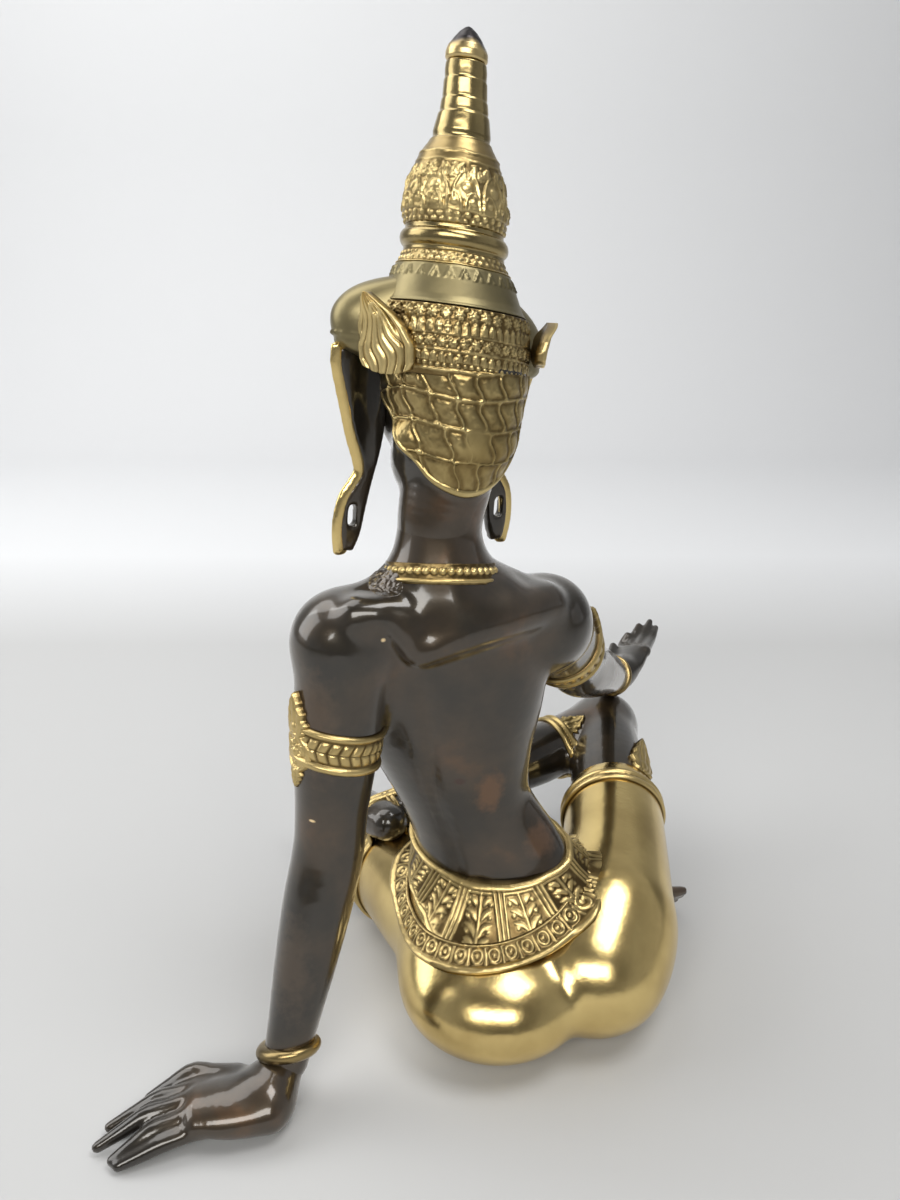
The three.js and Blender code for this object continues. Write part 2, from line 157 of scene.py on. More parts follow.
def finish(name):
    """A new material, its node tree and its shader."""
    material = bpy.data.materials.new(name)
    material.use_nodes = True
    return material, material.node_tree, material.node_tree.nodes["Principled BSDF"]


def feed(tree, made, inputs):
    """Gives each input its value, or links it to the output that is to feed it."""
    for key, value in inputs.items():
        if isinstance(value, bpy.types.NodeSocket):
            tree.links.new(value, made.inputs[key])
        else:
            made.inputs[key].default_value = value


def node(tree, kind, inputs, **settings):
    """A new node's outputs."""
    made = tree.nodes.new("ShaderNode" + kind)
    for key, value in settings.items():
        setattr(made, key, value)
    feed(tree, made, inputs)
    return made.outputs


def ramp(tree, factor, stops):
    made = tree.nodes.new("ShaderNodeValToRGB")
    elements = made.color_ramp.elements
    while len(elements) < len(stops):
        elements.new(0.5)
    for element, (place, colour) in zip(elements, stops):
        element.position = place
        element.color = (*colour, 1)
    feed(tree, made, {0: factor})
    return made.outputs[0]


def noise(tree, where, scale, detail):
    inputs = {"Vector": where, "Scale": scale, "Detail": detail, "Roughness": NOISE_ROUGHNESS}
    return node(tree, "TexNoise", inputs)["Fac"]


def gloss(tree, where, scale, detail, low, high):
    """A roughness that wanders between low and high."""
    wander = noise(tree, where, scale, detail)
    return node(tree, "MapRange", {"Value": wander, "To Min": low, "To Max": high})[0]


def pitted(tree, where, scale, detail, strength):
    height = noise(tree, where, scale, detail)
    return node(tree, "Bump", {"Height": height, "Strength": strength, "Distance": PIT_DEPTH})[0]


def marked(tree, where, colour):
    """Lays the marks over `colour`, with ragged edges."""
    ragged = noise(tree, where, 260, 3)
    for place, reach, shade in MARKS:
        away = node(tree, "VectorMath", {0: where, 1: tuple(in_frame(place))}, operation="SUBTRACT")[0]
        scaled = node(tree, "VectorMath", {0: away, 1: tuple(vec(*reach) * MM)}, operation="DIVIDE")[0]
        far = node(tree, "VectorMath", {0: scaled}, operation="LENGTH")["Value"]
        worn = node(tree, "Math", {0: ragged, 1: 1.2, 2: far}, operation="MULTIPLY_ADD")[0]
        share = node(tree, "MapRange", {"Value": worn, "From Min": 1.8, "From Max": 1.1})[0]
        colour = node(tree, "Mix", {0: share, 6: colour, 7: (*shade, 1)}, data_type="RGBA")[2]
    return colour


def dark_bronze():
    """Brown-black patina over bronze: warm where it is worn thin, cool and smooth elsewhere."""
    material, tree, shader = finish(DARK)
    where = node(tree, "TexCoord", {})["Object"]
    tint = ramp(tree, noise(tree, where, 22, 5), [
        (0.3, (0.013, 0.012, 0.011)), (0.48, (0.028, 0.023, 0.016)), (0.62, (0.055, 0.039, 0.024)),
        (0.8, (0.15, 0.075, 0.033))])
    feed(tree, shader, {
        "Base Color": marked(tree, where, tint), "Metallic": 0.6,
        "Roughness": gloss(tree, where, 60, 6, 0.26, 0.40),
        "Coat Weight": 1.0, "Coat Roughness": 0.10, "Coat IOR": 1.55, "Coat Tint": (1.0, 0.96, 0.90, 1),
        "Normal": pitted(tree, where, 350, 5, 0.10)})
    return material


def brass(name, bright, dull, rough, hollow=None):
    """Polished brass: bright where it is rubbed, and of the colour `hollow` in the relief's hollows."""
    material, tree, shader = finish(name)
    where = node(tree, "TexCoord", {})["Object"]
    colour = ramp(tree, noise(tree, where, 30, 5), [(0.3, dull), (0.6, bright)])
    if hollow:
        height = node(tree, "Attribute", {}, attribute_name="relief")["Fac"]
        depth = ramp(tree, height, [(0.0, (0, 0, 0)), (0.65, (1, 1, 1))])
        colour = node(tree, "Mix", {0: depth, 6: (*hollow, 1), 7: colour}, data_type="RGBA")[2]
    feed(tree, shader, {
        "Base Color": colour, "Metallic": 1.0,
        "Roughness": gloss(tree, where, 90, 5, rough, rough + GLOSS_SPREAD),
        "Normal": pitted(tree, where, 420, 4, 0.15)})
    return material


PATINA = dark_bronze()
GOLD = brass("polished_brass", (0.80, 0.61, 0.26), (0.55, 0.40, 0.16), 0.15)
RELIEF = brass("relief_brass", (0.74, 0.58, 0.27), (0.42, 0.32, 0.14), 0.27, (0.17, 0.115, 0.045))
AGED = brass("aged_brass", (0.66, 0.50, 0.22), (0.36, 0.27, 0.11), 0.28, (0.12, 0.08, 0.032))
NETTED = brass("net_brass", (0.66, 0.52, 0.24), (0.36, 0.27, 0.11), 0.24, (0.20, 0.14, 0.055))
TURNED = brass("spire_brass", (0.40, 0.31, 0.14), (0.19, 0.145, 0.07), 0.17)
WORN = brass("worn_bronze", (0.34, 0.25, 0.11), (0.035, 0.030, 0.024), 0.22)
BUD = brass("tip_brass", (0.72, 0.56, 0.27), (0.60, 0.45, 0.20), 0.22, (0.045, 0.040, 0.040))
SATIN = brass("satin_brass", (0.27, 0.225, 0.115), (0.17, 0.145, 0.08), 0.34)


# Clay: solid forms as distances on a grid, joined and cut softly

TINY = 1e-8


def oval(offsets, radii, thin):
    """The distance to an ellipsoid's skin, from the offsets along its axes."""
    parts = [offset / r for offset, r in zip(offsets, radii)]
    k0 = np.sqrt(sum(p * p for p in parts) + TINY)
    k1 = np.sqrt(sum((p / r) ** 2 for p, r in zip(parts, radii)) + TINY / thin ** 2)
    return k0 * (k0 - 1) / k1


def segment(start, end, side):
    """A stretch of limb between two rows of x, y, z, half width and half depth."""
    run = end[:3] - start[:3]
    length = max(np.linalg.norm(run), 1e-3)
    along = run / length if length > 1e-3 else vec(0, 0, 1)
    across = unit(side - along * (side @ along))
    through = np.cross(along, across)

    def distance(x, y, z):
        x, y, z = x - start[0], y - start[1], z - start[2]
        h = dot(x, y, z, along)
        t = np.clip(h / length, 0, 1)
        wide = start[3] + (end[3] - start[3]) * t
        deep = start[4] + (end[4] - start[4]) * t
        thin = np.minimum(wide, deep)
        return oval([dot(x, y, z, across), dot(x, y, z, through), h - t * length], [wide, deep, thin], thin)

    reach = max(start[3], start[4], end[3], end[4])
    return np.minimum(start[:3], end[:3]) - reach, np.maximum(start[:3], end[:3]) + reach, distance


def limb(stations, steps, side=(1, 0, 0)):
    """A limb through rows of x, y, z, radius, or x, y, z, half width, half depth and its width's turn."""
    rows = []
    for x, y, z, wide, *more in stations:
        deep = more[0] if more else wide
        across = left_of(more[1]) if len(more) > 1 else side
        rows.append([x, y, z, wide, deep, *across])
    run = spline(rows, steps)
    return [segment(a, b, (a[5:8] + b[5:8]) / 2) for a, b in zip(run[:-1], run[1:])]


def ball(centre, radii, axes=np.eye(3)):
    """An ellipsoid with its radii along three axes."""
    centre, radii = np.asarray(centre, float), np.asarray(radii, float)

    def distance(x, y, z):
        x, y, z = x - centre[0], y - centre[1], z - centre[2]
        return oval([dot(x, y, z, axis) for axis in axes], radii, radii.min())

    return [(centre - radii.max(), centre + radii.max(), distance)]


def stack(rows):
    """Oval sections from the lowest up, as rows of height, centre x and y, half width, half depth, turn."""
    run = spline(rows, 60)
    bottom, top = run[0, 0], run[-1, 0]

    def distance(x, y, z):
        mid_x, mid_y, wide, deep, turn = (np.interp(z, run[:, 0], run[:, k]) for k in range(1, 6))
        c, s = np.cos(np.radians(turn)), np.sin(np.radians(turn))
        u = ((x - mid_x) * c + (y - mid_y) * s) / wide
        v = ((y - mid_y) * c - (x - mid_x) * s) / deep
        flat = (np.sqrt(u * u + v * v + TINY) - 1) * deep
        return np.maximum(flat, np.abs(z - (bottom + top) / 2) - (top - bottom) / 2)

    reach = run[:, 3].max()
    low = vec(run[:, 1].min() - reach, run[:, 2].min() - reach, bottom)
    high = vec(run[:, 1].max() + reach, run[:, 2].max() + reach, top)
    return [(low, high, distance)]


def slab(outline, origin, across, rise, half, edge):
    """A flat plate with rounded edges. outline holds points along `across` and `rise`."""
    across, rise = unit(across), unit(rise)
    face = np.cross(across, rise)

    def distance(x, y, z):
        x, y, z = x - origin[0], y - origin[1], z - origin[2]
        u, v = dot(x, y, z, across), dot(x, y, z, rise)
        best = np.full(u.shape, 1e9)
        inside = np.zeros(u.shape, bool)
        for (ax, ay), (bx, by) in zip(outline, np.roll(outline, -1, 0)):
            ex, ey = bx - ax, by - ay
            t = np.clip(((u - ax) * ex + (v - ay) * ey) / max(ex * ex + ey * ey, 1e-9), 0, 1)
            best = np.minimum(best, (u - ax - ex * t) ** 2 + (v - ay - ey * t) ** 2)
            if ay != by:
                crossed = (ay > v) != (by > v)
                inside ^= crossed & (u < ax + (v - ay) / (by - ay) * ex)
        flat = np.where(inside, -1, 1) * np.sqrt(best) + edge
        thick = np.abs(dot(x, y, z, face)) - half + edge
        outside = np.hypot(np.maximum(flat, 0), np.maximum(thick, 0))
        return np.minimum(np.maximum(flat, thick), 0) + outside - edge

    corners = np.array([origin + across * u + rise * v + face * w for u, v in outline for w in (-half, half)])
    return [(corners.min(0), corners.max(0), distance)]


class Clay:
    """A block of modelling clay. Distances in millimetres, negative inside."""

    REACH = 8.0
    OUTSIDE = 40.0

    def __init__(self, low, high, cell):
        self.low, self.cell = np.asarray(low, float), cell
        self.shape = np.ceil((np.asarray(high, float) - self.low) / cell).astype(int) + 1
        self.value = np.full(self.shape, self.OUTSIDE, np.float32)

    def window(self, low, high):
        first = np.clip(np.floor((low - self.REACH - self.low) / self.cell).astype(int), 0, self.shape)
        last = np.clip(np.ceil((high + self.REACH - self.low) / self.cell).astype(int) + 1, 0, self.shape)
        return first, last

    def work(self, form, blend, cutting):
        first, last = self.window(np.min([p[0] for p in form], 0), np.max([p[1] for p in form], 0))
        if (last <= first).any():
            return
        near = np.full(last - first, self.OUTSIDE, np.float32)
        for low, high, distance in form:
            a, b = self.window(low, high)
            if (b <= a).any():
                continue
            x, y, z = (np.arange(a[k], b[k]) * self.cell + self.low[k] for k in range(3))
            part = distance(x[:, None, None], y[None, :, None], z[None, None, :])
            place = tuple(slice(a[k] - first[k], b[k] - first[k]) for k in range(3))
            near[place] = np.minimum(near[place], part)
        place = tuple(slice(first[k], last[k]) for k in range(3))
        old = -self.value[place] if cutting else self.value[place]
        soft = np.maximum(blend - np.abs(old - near), 0) ** 2 / (4 * blend) if blend else 0
        new = np.minimum(old, near) - soft
        self.value[place] = -new if cutting else new

    def add(self, form, blend=0.0):
        self.work(form, blend, False)

    def cut(self, form, blend=0.0):
        self.work(form, blend, True)

    def cut_below(self, height):
        z = self.low[2] + self.cell * np.arange(self.shape[2])
        self.value = np.maximum(self.value, (height - z)[None, None, :].astype(np.float32))

    def sample(self, points):
        place = np.clip((points - self.low) / self.cell, 0, np.array(self.shape) - 1.001)
        k = place.astype(int)
        f = place - k
        total = 0
        for i, j, m in np.ndindex(2, 2, 2):
            share = np.abs(1 - i - f[..., 0]) * np.abs(1 - j - f[..., 1]) * np.abs(1 - m - f[..., 2])
            total = total + share * self.value[k[..., 0] + i, k[..., 1] + j, k[..., 2] + m]
        return total

    def surface(self, smoothing):
        """The clay's skin as points and four-sided faces."""
        value = self.value
        inside = value < 0
        size = np.array(value.shape) - 1
        nx, ny, nz = size
        corner = list(np.ndindex(2, 2, 2))
        count = sum(inside[i:nx + i, j:ny + j, k:nz + k].astype(np.int8) for i, j, k in corner)
        cells = np.argwhere((count > 0) & (count < 8))
        number = np.full(size, -1, np.int32)
        number[tuple(cells.T)] = np.arange(len(cells))
        total = np.zeros((len(cells), 3))
        hits = np.zeros(len(cells))
        for p in corner:
            for axis in range(3):
                if p[axis]:
                    continue
                q = list(p)
                q[axis] = 1
                a = value[tuple((cells + p).T)]
                b = value[tuple((cells + q).T)]
                crossed = (a < 0) != (b < 0)
                share = np.where(crossed, a / np.where(crossed, a - b, 1), 0)
                total += (p + share[:, None] * np.eye(3)[axis]) * crossed[:, None]
                hits += crossed
        points = self.low + self.cell * (cells + total / hits[:, None])
        faces = []
        for axis in range(3):
            others = [(axis + 1) % 3, (axis + 2) % 3]
            here = [slice(0, n) for n in size]
            later = list(here)
            later[axis] = slice(1, size[axis] + 1)
            a, b = inside[tuple(here)], inside[tuple(later)]
            for turn, edges in ((1, a & ~b), (-1, ~a & b)):
                at = np.argwhere(edges)
                at = at[(at[:, others[0]] > 0) & (at[:, others[1]] > 0)]
                ring = []
                for step in ((0, 0), (1, 0), (1, 1), (0, 1))[::-turn]:
                    cell = at.copy()
                    cell[:, others] -= step
                    ring.append(number[tuple(cell.T)])
                faces.append(np.stack(ring, 1))
        faces = np.vstack(faces)
        faces = faces[(faces >= 0).all(1)][:, ::-1]
        for _ in range(smoothing):
            points = relaxed(points, faces)
        return points, faces


def relaxed(points, faces):
    """Each point moved half of the way to the middle of its neighbours."""
    total = np.zeros_like(points)
    hits = np.zeros(len(points))
    for a, b in ((0, 1), (1, 2), (2, 3), (3, 0)):
        for i, j in ((a, b), (b, a)):
            for axis in range(3):
                total[:, axis] += np.bincount(faces[:, i], points[faces[:, j], axis], len(points))
            hits += np.bincount(faces[:, i], minlength=len(points))
    return points + 0.5 * (total / np.maximum(hits, 1)[:, None] - points)


# Meshes


def piece(name, points, faces, material, relief=None):
    """A finished piece of the figure, from points in millimetres and faces as rows of corner numbers."""
    mesh = bpy.data.meshes.new(name)
    sizes = np.concatenate([np.full(len(f), f.shape[1]) for f in faces])
    corners = np.concatenate([f.ravel() for f in faces])
    mesh.vertices.add(len(points))
    mesh.vertices.foreach_set("co", in_frame(points).ravel())
    mesh.loops.add(len(corners))
    mesh.loops.foreach_set("vertex_index", corners.astype(np.int32))
    mesh.polygons.add(len(sizes))
    mesh.polygons.foreach_set("loop_start", np.concatenate([[0], np.cumsum(sizes)[:-1]]).astype(np.int32))
    mesh.polygons.foreach_set("use_smooth", np.ones(len(sizes), bool))
    if relief is not None:
        mesh.attributes.new("relief", "FLOAT", "POINT").data.foreach_set("value", relief.astype(np.float32))
    mesh.update(calc_edges=True)
    if relief is not None:
        work = bmesh.new()
        work.from_mesh(mesh)
        bmesh.ops.recalc_face_normals(work, faces=work.faces)
        work.to_mesh(mesh)
        work.free()
    mesh.validate()
    made = bpy.data.objects.new(name, mesh)
    bpy.context.scene.collection.objects.link(made)
    mesh.materials.append(material)
    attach(made, ROOT)
    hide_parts(NODE)


def modelled(name, clay, material, smoothing=2):
    points, faces = clay.surface(smoothing)
    piece(name, points, [faces], material)


def quads(rows, cols, first=0, closed=False):
    """Faces between the points of a grid; `closed` joins its last column to its first."""
    i, j = np.meshgrid(np.arange(rows - 1), np.arange(cols if closed else cols - 1), indexing="ij")
    after = (j + 1) % cols
    here = i * cols
    return np.stack([here + j, here + after, here + cols + after, here + cols + j], -1).reshape(-1, 4) + first


def thinned(count, skip, closed=False):
    """Every `skip`-th of `count` places, and for each place the number of the kept one nearest to it."""
    kept = np.arange(0, count, skip)
    if not closed and kept[-1] != count - 1:
        kept = np.append(kept, count - 1)
    away = np.abs(np.arange(count)[:, None] - kept[None, :])
    if closed:
        away = np.minimum(away, count - away)
    return kept, away.argmin(1)


# The hidden inner side of a shell keeps one point in six each way
SHELL_SKIP = 6


def shell(name, outer, inner, material, height, closed=False):
    """A closed piece between two grids of points. height says where the relief stands high."""
    rows, cols = outer.shape[:2]
    size = rows * cols
    row_kept, row_near = thinned(rows, SHELL_SKIP)
    col_kept, col_near = thinned(cols, SHELL_SKIP, closed)
    wide = len(col_kept)
    inner = inner[row_kept][:, col_kept]
    points = np.vstack([outer.reshape(-1, 3), inner.reshape(-1, 3)])
    fours = [quads(rows, cols, 0, closed), quads(len(row_kept), wide, size, closed)[:, ::-1]]
    threes = []
    top = np.arange(cols)
    foot = top + (rows - 1) * cols
    foot_near = col_near + (len(row_kept) - 1) * wide
    edges = [(top, col_near, closed), (foot[::-1], foot_near[::-1], closed)]
    if not closed:
        down = np.arange(rows) * cols
        near_down = row_near * wide
        edges += [(down[::-1], near_down[::-1], False), (down + cols - 1, near_down + wide - 1, False)]
    for line, near, loops in edges:
        if loops:
            line, near = np.append(line, line[0]), np.append(near, near[0])
        here, after, below, next_below = line[:-1], line[1:], near[:-1] + size, near[1:] + size
        moved = below != next_below
        fours.append(np.stack([after, here, below, next_below], 1)[moved])
        threes.append(np.stack([after, here, below], 1)[~moved])
    relief = np.concatenate([height.ravel(), np.zeros(len(points) - size)])
    piece(name, points, [np.vstack(fours), np.vstack(threes)], material, relief)


# The crown's rings stand a little higher on the head's left, and its axis sways, as the casting has them
CROWN_SKEW = (0.12, 0.02)
CROWN_SWAY = [(-10, 0.8), (10, 2.2), (70, 2.4), (86, 1.4), (98, 0.5), (115, 0.4), (125, 0)]
SWAY_LEFT, SWAY_BACK = 0.866, -0.5


def turned(name, profile, relief, step, cols, material):
    """A round piece on the head's axis. profile has rows of height and radius, relief adds to the radius."""
    profile = np.asarray(profile, float)
    run = np.concatenate([[0], np.cumsum(np.hypot(*np.diff(profile, axis=0).T))])
    at = np.linspace(0, run[-1], int(run[-1] / step) + 1)
    s, r = (np.interp(at, run, profile[:, k])[:, None] for k in (0, 1))
    share = (np.arange(cols) / cols)[None, :]
    high = relief(share, s + 0 * share, r + 0 * share)
    radius = np.maximum(r + high, 0.02)
    angle = 2 * np.pi * share
    x, y = radius * np.sin(angle), -radius * np.cos(angle)
    sway = np.interp(s, *np.transpose(CROWN_SWAY))
    points = in_head(x + SWAY_LEFT * sway, y + SWAY_BACK * sway, s + CROWN_SKEW[0] * x + CROWN_SKEW[1] * y)
    ends = np.stack([in_head(SWAY_LEFT * sway[k, 0], SWAY_BACK * sway[k, 0], s[k, 0]) for k in (0, -1)])
    size = points.shape[0] * cols
    around = np.arange(cols)
    after = (around + 1) % cols
    last = size - cols
    caps = [np.stack([after, around, np.full(cols, size)], 1),
            np.stack([around + last, after + last, np.full(cols, size + 1)], 1)]
    points = np.vstack([points.reshape(-1, 3), ends])
    faces = [quads(len(at), cols, 0, True), np.vstack(caps)]
    piece(name, points, faces, material, np.append(high.ravel(), [0, 0]))


# How far an ornament's hidden side lies under the skin
SINK = 1.5


def hugged(clays, origin, direction, start):
    """Where rays from outside first meet the clay, as lengths from `origin` along `direction`."""
    length = np.full(direction.shape[:-1], float(start))
    for _ in range(90):
        points = origin + direction * length[..., None]
        gap = np.minimum.reduce([clay.sample(points) for clay in clays])
        length = np.maximum(length - np.clip(gap, -0.4, 6) * 0.8, 0)
    return length


def applique(name, clays, centre, out, up, size, relief, material, lean=0.0):
    """An ornament on the clay at `centre`, facing `out`. relief(x, y) is its height, negative outside it."""
    step, start = 0.35, 30.0
    out = unit(out)
    rise = unit(np.asarray(up, float) - out * (np.asarray(up, float) @ out))
    across = np.cross(rise, out)
    x = np.arange(-size[0], size[0] + step, step)[None, :]
    y = np.arange(size[1], size[2] + step, step)[:, None]
    x, y = x + 0 * y, y + 0 * x
    origin = np.asarray(centre, float) + x[..., None] * across + y[..., None] * rise
    length = hugged(clays, origin, np.broadcast_to(out, origin.shape), start)
    length = softened(np.maximum(length, np.median(length) - 6), 8)
    height = relief(x, y)
    lift = np.where(height > 0, lean * np.maximum(y, 0), 0)
    outer = origin + out * (length + height + lift)[..., None]
    inner = origin + out * (length - SINK + lift)[..., None]
    shell(name, outer, inner, material, height)


def band(name, clays, centre, axis, side, low, high, relief, size, start=60.0, ease=3, most=200.0,
         fan=(0.0, 0.0), ground=0.3, even=False, taut=0.0, material=AGED):
    """A ring that hugs the clay, from low to high along the axis. relief is its height over the skin."""
    rows, cols = size
    axis = unit(axis)
    across = unit(np.asarray(side, float) - axis * (np.asarray(side, float) @ axis))
    through = np.cross(axis, across)
    share = (np.arange(cols) / cols)[None, :]
    v = np.linspace(0, 1, rows)[:, None]
    angle = 2 * np.pi * share
    level_out = np.cos(angle)[..., None] * across + np.sin(angle)[..., None] * through
    spread = v + 0 * share
    for again in range(2 if even else 1):
        out = level_out + (fan[0] + (fan[1] - fan[0]) * spread)[..., None] * axis
        out = out / np.linalg.norm(out, axis=-1)[..., None]
        level = low + (high - low) * spread
        origin = centre + level[..., None] * axis
        length = np.minimum(hugged(clays, origin, out, start), most)
        for _ in range(ease):
            padded = np.vstack([length[:1], length, length[-1:]])
            length = (padded[:-2] + 2 * length + padded[2:]) / 4
            length = (np.roll(length, 1, 1) + 2 * length + np.roll(length, -1, 1)) / 4
        straight = mix(length[:1], length[-1:], spread)
        length = mix(length, np.maximum(length, straight), taut)
        if even and again == 0:
            run = np.linalg.norm(np.diff(origin + out * length[..., None], axis=0), axis=-1)
            run = np.vstack([np.zeros(cols), np.cumsum(run, 0)])
            spread = np.stack([np.interp(v[:, 0], run[:, k] / run[-1, k], v[:, 0]) for k in range(cols)], 1)
    height = relief(share + 0 * v, v + 0 * share, length)
    outer = origin + out * (length + height)[..., None]
    inner = origin + out * (length - SINK)[..., None]
    shell(name, outer, inner, material, height - ground, True)


# Relief patterns. share runs from 0 to 1 around the piece, and every pattern gives a height in millimetres


def repeats(share, count):
    """The place within each of `count` repeats, from -0.5 to 0.5."""
    return share * count - np.round(share * count)


def hump(x, centre, width, power=2):
    """A soft ridge of height 1 at `centre`, steeper with a higher power."""
    return np.exp(-((x - centre) / width) ** power)


def ridge(v, level, width, height):
    return height * np.exp(-np.abs((v - level) / width) ** 3)


def dome(*offsets):
    """A round boss of height 1, from the offsets to its middle in radii."""
    left = 1
    for offset in offsets:
        left = left - offset ** 2
    return np.sqrt(np.maximum(left, 0))


class Rows:
    """Rows of ornament around a piece: share goes around it, v is the height on it and r its radius."""

    def __init__(self, share, v, r):
        self.share, self.v, self.girth = share, v, 2 * np.pi * r

    def across(self, count, shift=0.0):
        """How far each place is from the middle of its repeat."""
        return repeats(self.share + shift / count, count) * (self.girth / count)

    def beads(self, count, level, radius, shift=0.0):
        return np.sqrt(np.maximum(radius ** 2 - self.across(count, shift) ** 2 - (self.v - level) ** 2, 0))

    def petals(self, count, foot, tip, height, shift=0.0):
        """Pointed leaves with a raised edge and a mid rib."""
        x = np.abs(repeats(self.share + shift / count, count)) * 2
        y = (self.v - foot) / (tip - foot)
        half = np.sqrt(np.clip(1 - np.clip(y, 0, 1) ** 1.6, 0, 1)) * (0.9 + 0.1 * y)
        inside = np.where((y > 0) & (y < 1), half - x, -1)
        rib = hump(x, 0, 0.16) * (y < 0.85)
        return height * np.clip(inside * 5, 0, 1) * (0.45 + 0.55 * np.maximum(hump(inside, 0.16, 0.12), rib))

    def rosettes(self, count, level, radius, height, shift=0.0):
        """Round flowers: a ring of petals about a boss."""
        x, y = self.across(count, shift), self.v - level
        r = np.hypot(x, y) / radius
        lobes = 0.75 + 0.25 * np.cos(7 * np.arctan2(y, x))
        return height * np.maximum(hump(r, 0.72 * lobes, 0.2) * (r < 1.15), dome(r / 0.36))

    def arches(self, count, foot, tip, height, shift=0.0):
        """Pointed arches, each framing a bead."""
        pitch = self.girth / count
        x = self.across(count, shift)
        y = (self.v - foot) / (tip - foot)
        half = pitch * 0.47 * np.sqrt(np.clip(1 - np.clip(y, 0, 1) ** 2.2, 0, 1))
        inside = (half - np.abs(x)) * ((y > -0.02) & (y < 1))
        rim = hump(inside, 0.45, 0.38) * (inside > 0)
        bead = dome(x / (pitch * 0.2), (y - 0.42) / 0.2)
        return height * np.maximum.reduce([rim, bead, 0.25 * (inside > 0)])

    def carets(self, count, foot, tip, height):
        """Small open points, like a pleated edge."""
        pitch = self.girth / count
        y = (self.v - foot) / (tip - foot)
        point = hump(np.abs(self.across(count)), (1 - y) * pitch * 0.26, 0.32)
        return height * point * ((y > 0) & (y < 1.1))


def grain(share, v, girth, size, seed):
    """Soft uneven bumps, about `size` wide, on a strip `girth` long that joins up around the piece."""
    rng = np.random.default_rng(seed)
    cols = max(int(girth / size), 4)
    rows = int(np.ptp(v) / size) + 4
    table = rng.random((rows, cols))
    a = (share * cols) % cols
    b = (v - v.min()) / size
    i, j = a.astype(int) % cols, b.astype(int)
    p, q = a - np.floor(a), b - np.floor(b)
    p, q = p * p * (3 - 2 * p), q * q * (3 - 2 * q)
    k, m = (i + 1) % cols, np.minimum(j + 1, rows - 1)
    low = table[j, i] * (1 - p) + table[j, k] * p
    high = table[m, i] * (1 - p) + table[m, k] * p
    return low * (1 - q) + high * q - 0.5


# Body


def along(start, end, stations):
    """Rows for a straight limb, from shares of its length and radii."""
    return [(*mix(start, end, share), radius) for share, radius in stations]


def arm(shoulder, elbow, wrist):
    upper = along(shoulder, elbow, ((0, 18.2), (0.28, 17.6), (0.55, 16.2), (0.8, 14.4)))
    fore = along(elbow, wrist, ((0, 14.2), (0.25, 14.0), (0.55, 12.4), (0.82, 10.3), (1, 9.4)))
    return limb(upper + fore, 26)


def upper_body():
    clay = Clay((-118, -112, 14), (78, 116, 262), 1.55)
    clay.add(limb([
        (-36, 42, 38, 41, 28, -22), (-29, 32, 62, 34.5, 25.5, -24), (-23, 31.5, 82, 31, 23.5, -25),
        (-15.7, 34, 104, 29, 22.5, -22), (-10.5, 38, 130, 34, 25, -10), (-7.5, 43, 155, 41, 27, 2),
        (-7, 49, 176, 42.5, 25.5, 12), (-7, 54, 190, 34, 21, 16), (-6.5, 57, 202, 22, 17.5, 18),
        (-5.8, 57.5, 213, 17, 16, 18)], 44))
    neck = [(-5.8, 57.5, 206, 18), (-5.4, 57, 218, 16.2), (-5.6, 56, 230, 15.8), (-9, 53, 248, 17)]
    clay.add(limb(neck, 12), 8)
    clay.add(limb([(-6, 58, 204, 16), (14, 63, 199, 14), (*L_SHOULDER, 17)], 10), 9)
    clay.add(limb([(-6, 57, 204, 16), (-27, 48, 197, 14), (*R_SHOULDER, 15.5)], 10), 9)
    clay.add(ball(L_SHOULDER + vec(0.5, 0, 1), (19.5, 19, 20)), 6)
    clay.add(ball(R_SHOULDER + vec(0, -1, 0), (17.5, 18.5, 18.5)), 6)
    clay.add(arm(L_SHOULDER, L_ELBOW, L_WRIST), 5)
    clay.add(arm(R_SHOULDER, R_ELBOW, R_WRIST), 5)
    # the flank that folds over the belt
    clay.add(limb([(-40, 42, 98, 6), (-47, 43, 86, 9), (-50, 44, 76, 11), (-49, 46, 66, 12)], 10), 8)
    # the shoulders' roll, which meets in a V beside the spine, with a hollow at the neck's left
    clay.add(limb([(24, 79, 202, 7.5), (11, 78, 202, 6.5), (6.5, 79, 196, 6), (3, 79, 189, 5)], 10), 5)
    clay.add(limb([(-46, 52, 196.5, 9), (-40, 58, 197, 8.5), (-28.5, 67, 196.5, 8.5), (-20, 71.5, 195, 8),
                   (-10.7, 75.5, 192, 7), (0, 78.5, 188, 5.5)], 12), 5)
    clay.add(limb([(-2, 70.5, 200.5, 8.5), (-13, 69, 200, 9.5), (-28, 60, 201, 9.5)], 8), 6)
    clay.cut(limb([(10, 86.5, 207, 3), (6, 87.5, 199, 3), (2.5, 87.5, 191, 1.8)], 8), 5)
    # the spine's groove, as a deep line and a wider shallow one, and the room that the seat fills
    clay.cut(limb([(0.6, 76.6, 170.5, 2.6), (-1.8, 69.8, 143.4, 2.9), (-2.6, 61.1, 117, 3.2),
                   (-7, 56.3, 97, 3.4), (-12.6, 54.8, 75, 3.4)], 14), 2.5)
    clay.cut(stack([(level, -36, 34, 68, 68, 0) for level in (4, 24, 44)]))
    clay.cut(limb([(0, 82, 166, 2.0), (-5, 76.5, 150, 2.6), (-9, 69.5, 132, 2.4), (-13, 62.5, 108, 2.0),
                   (-19, 58.5, 84, 1.8), (-22, 58.5, 66, 1.8)], 16), 4.5)
    return clay


def finger(root, middle, tip, radius):
    return limb([(*root, radius), (*mix(root, middle, 0.55), radius * 0.93), (*middle, radius * 0.96),
                 (*mix(middle, tip, 0.5), radius * 0.82), (*tip, radius * 0.6)], 12)


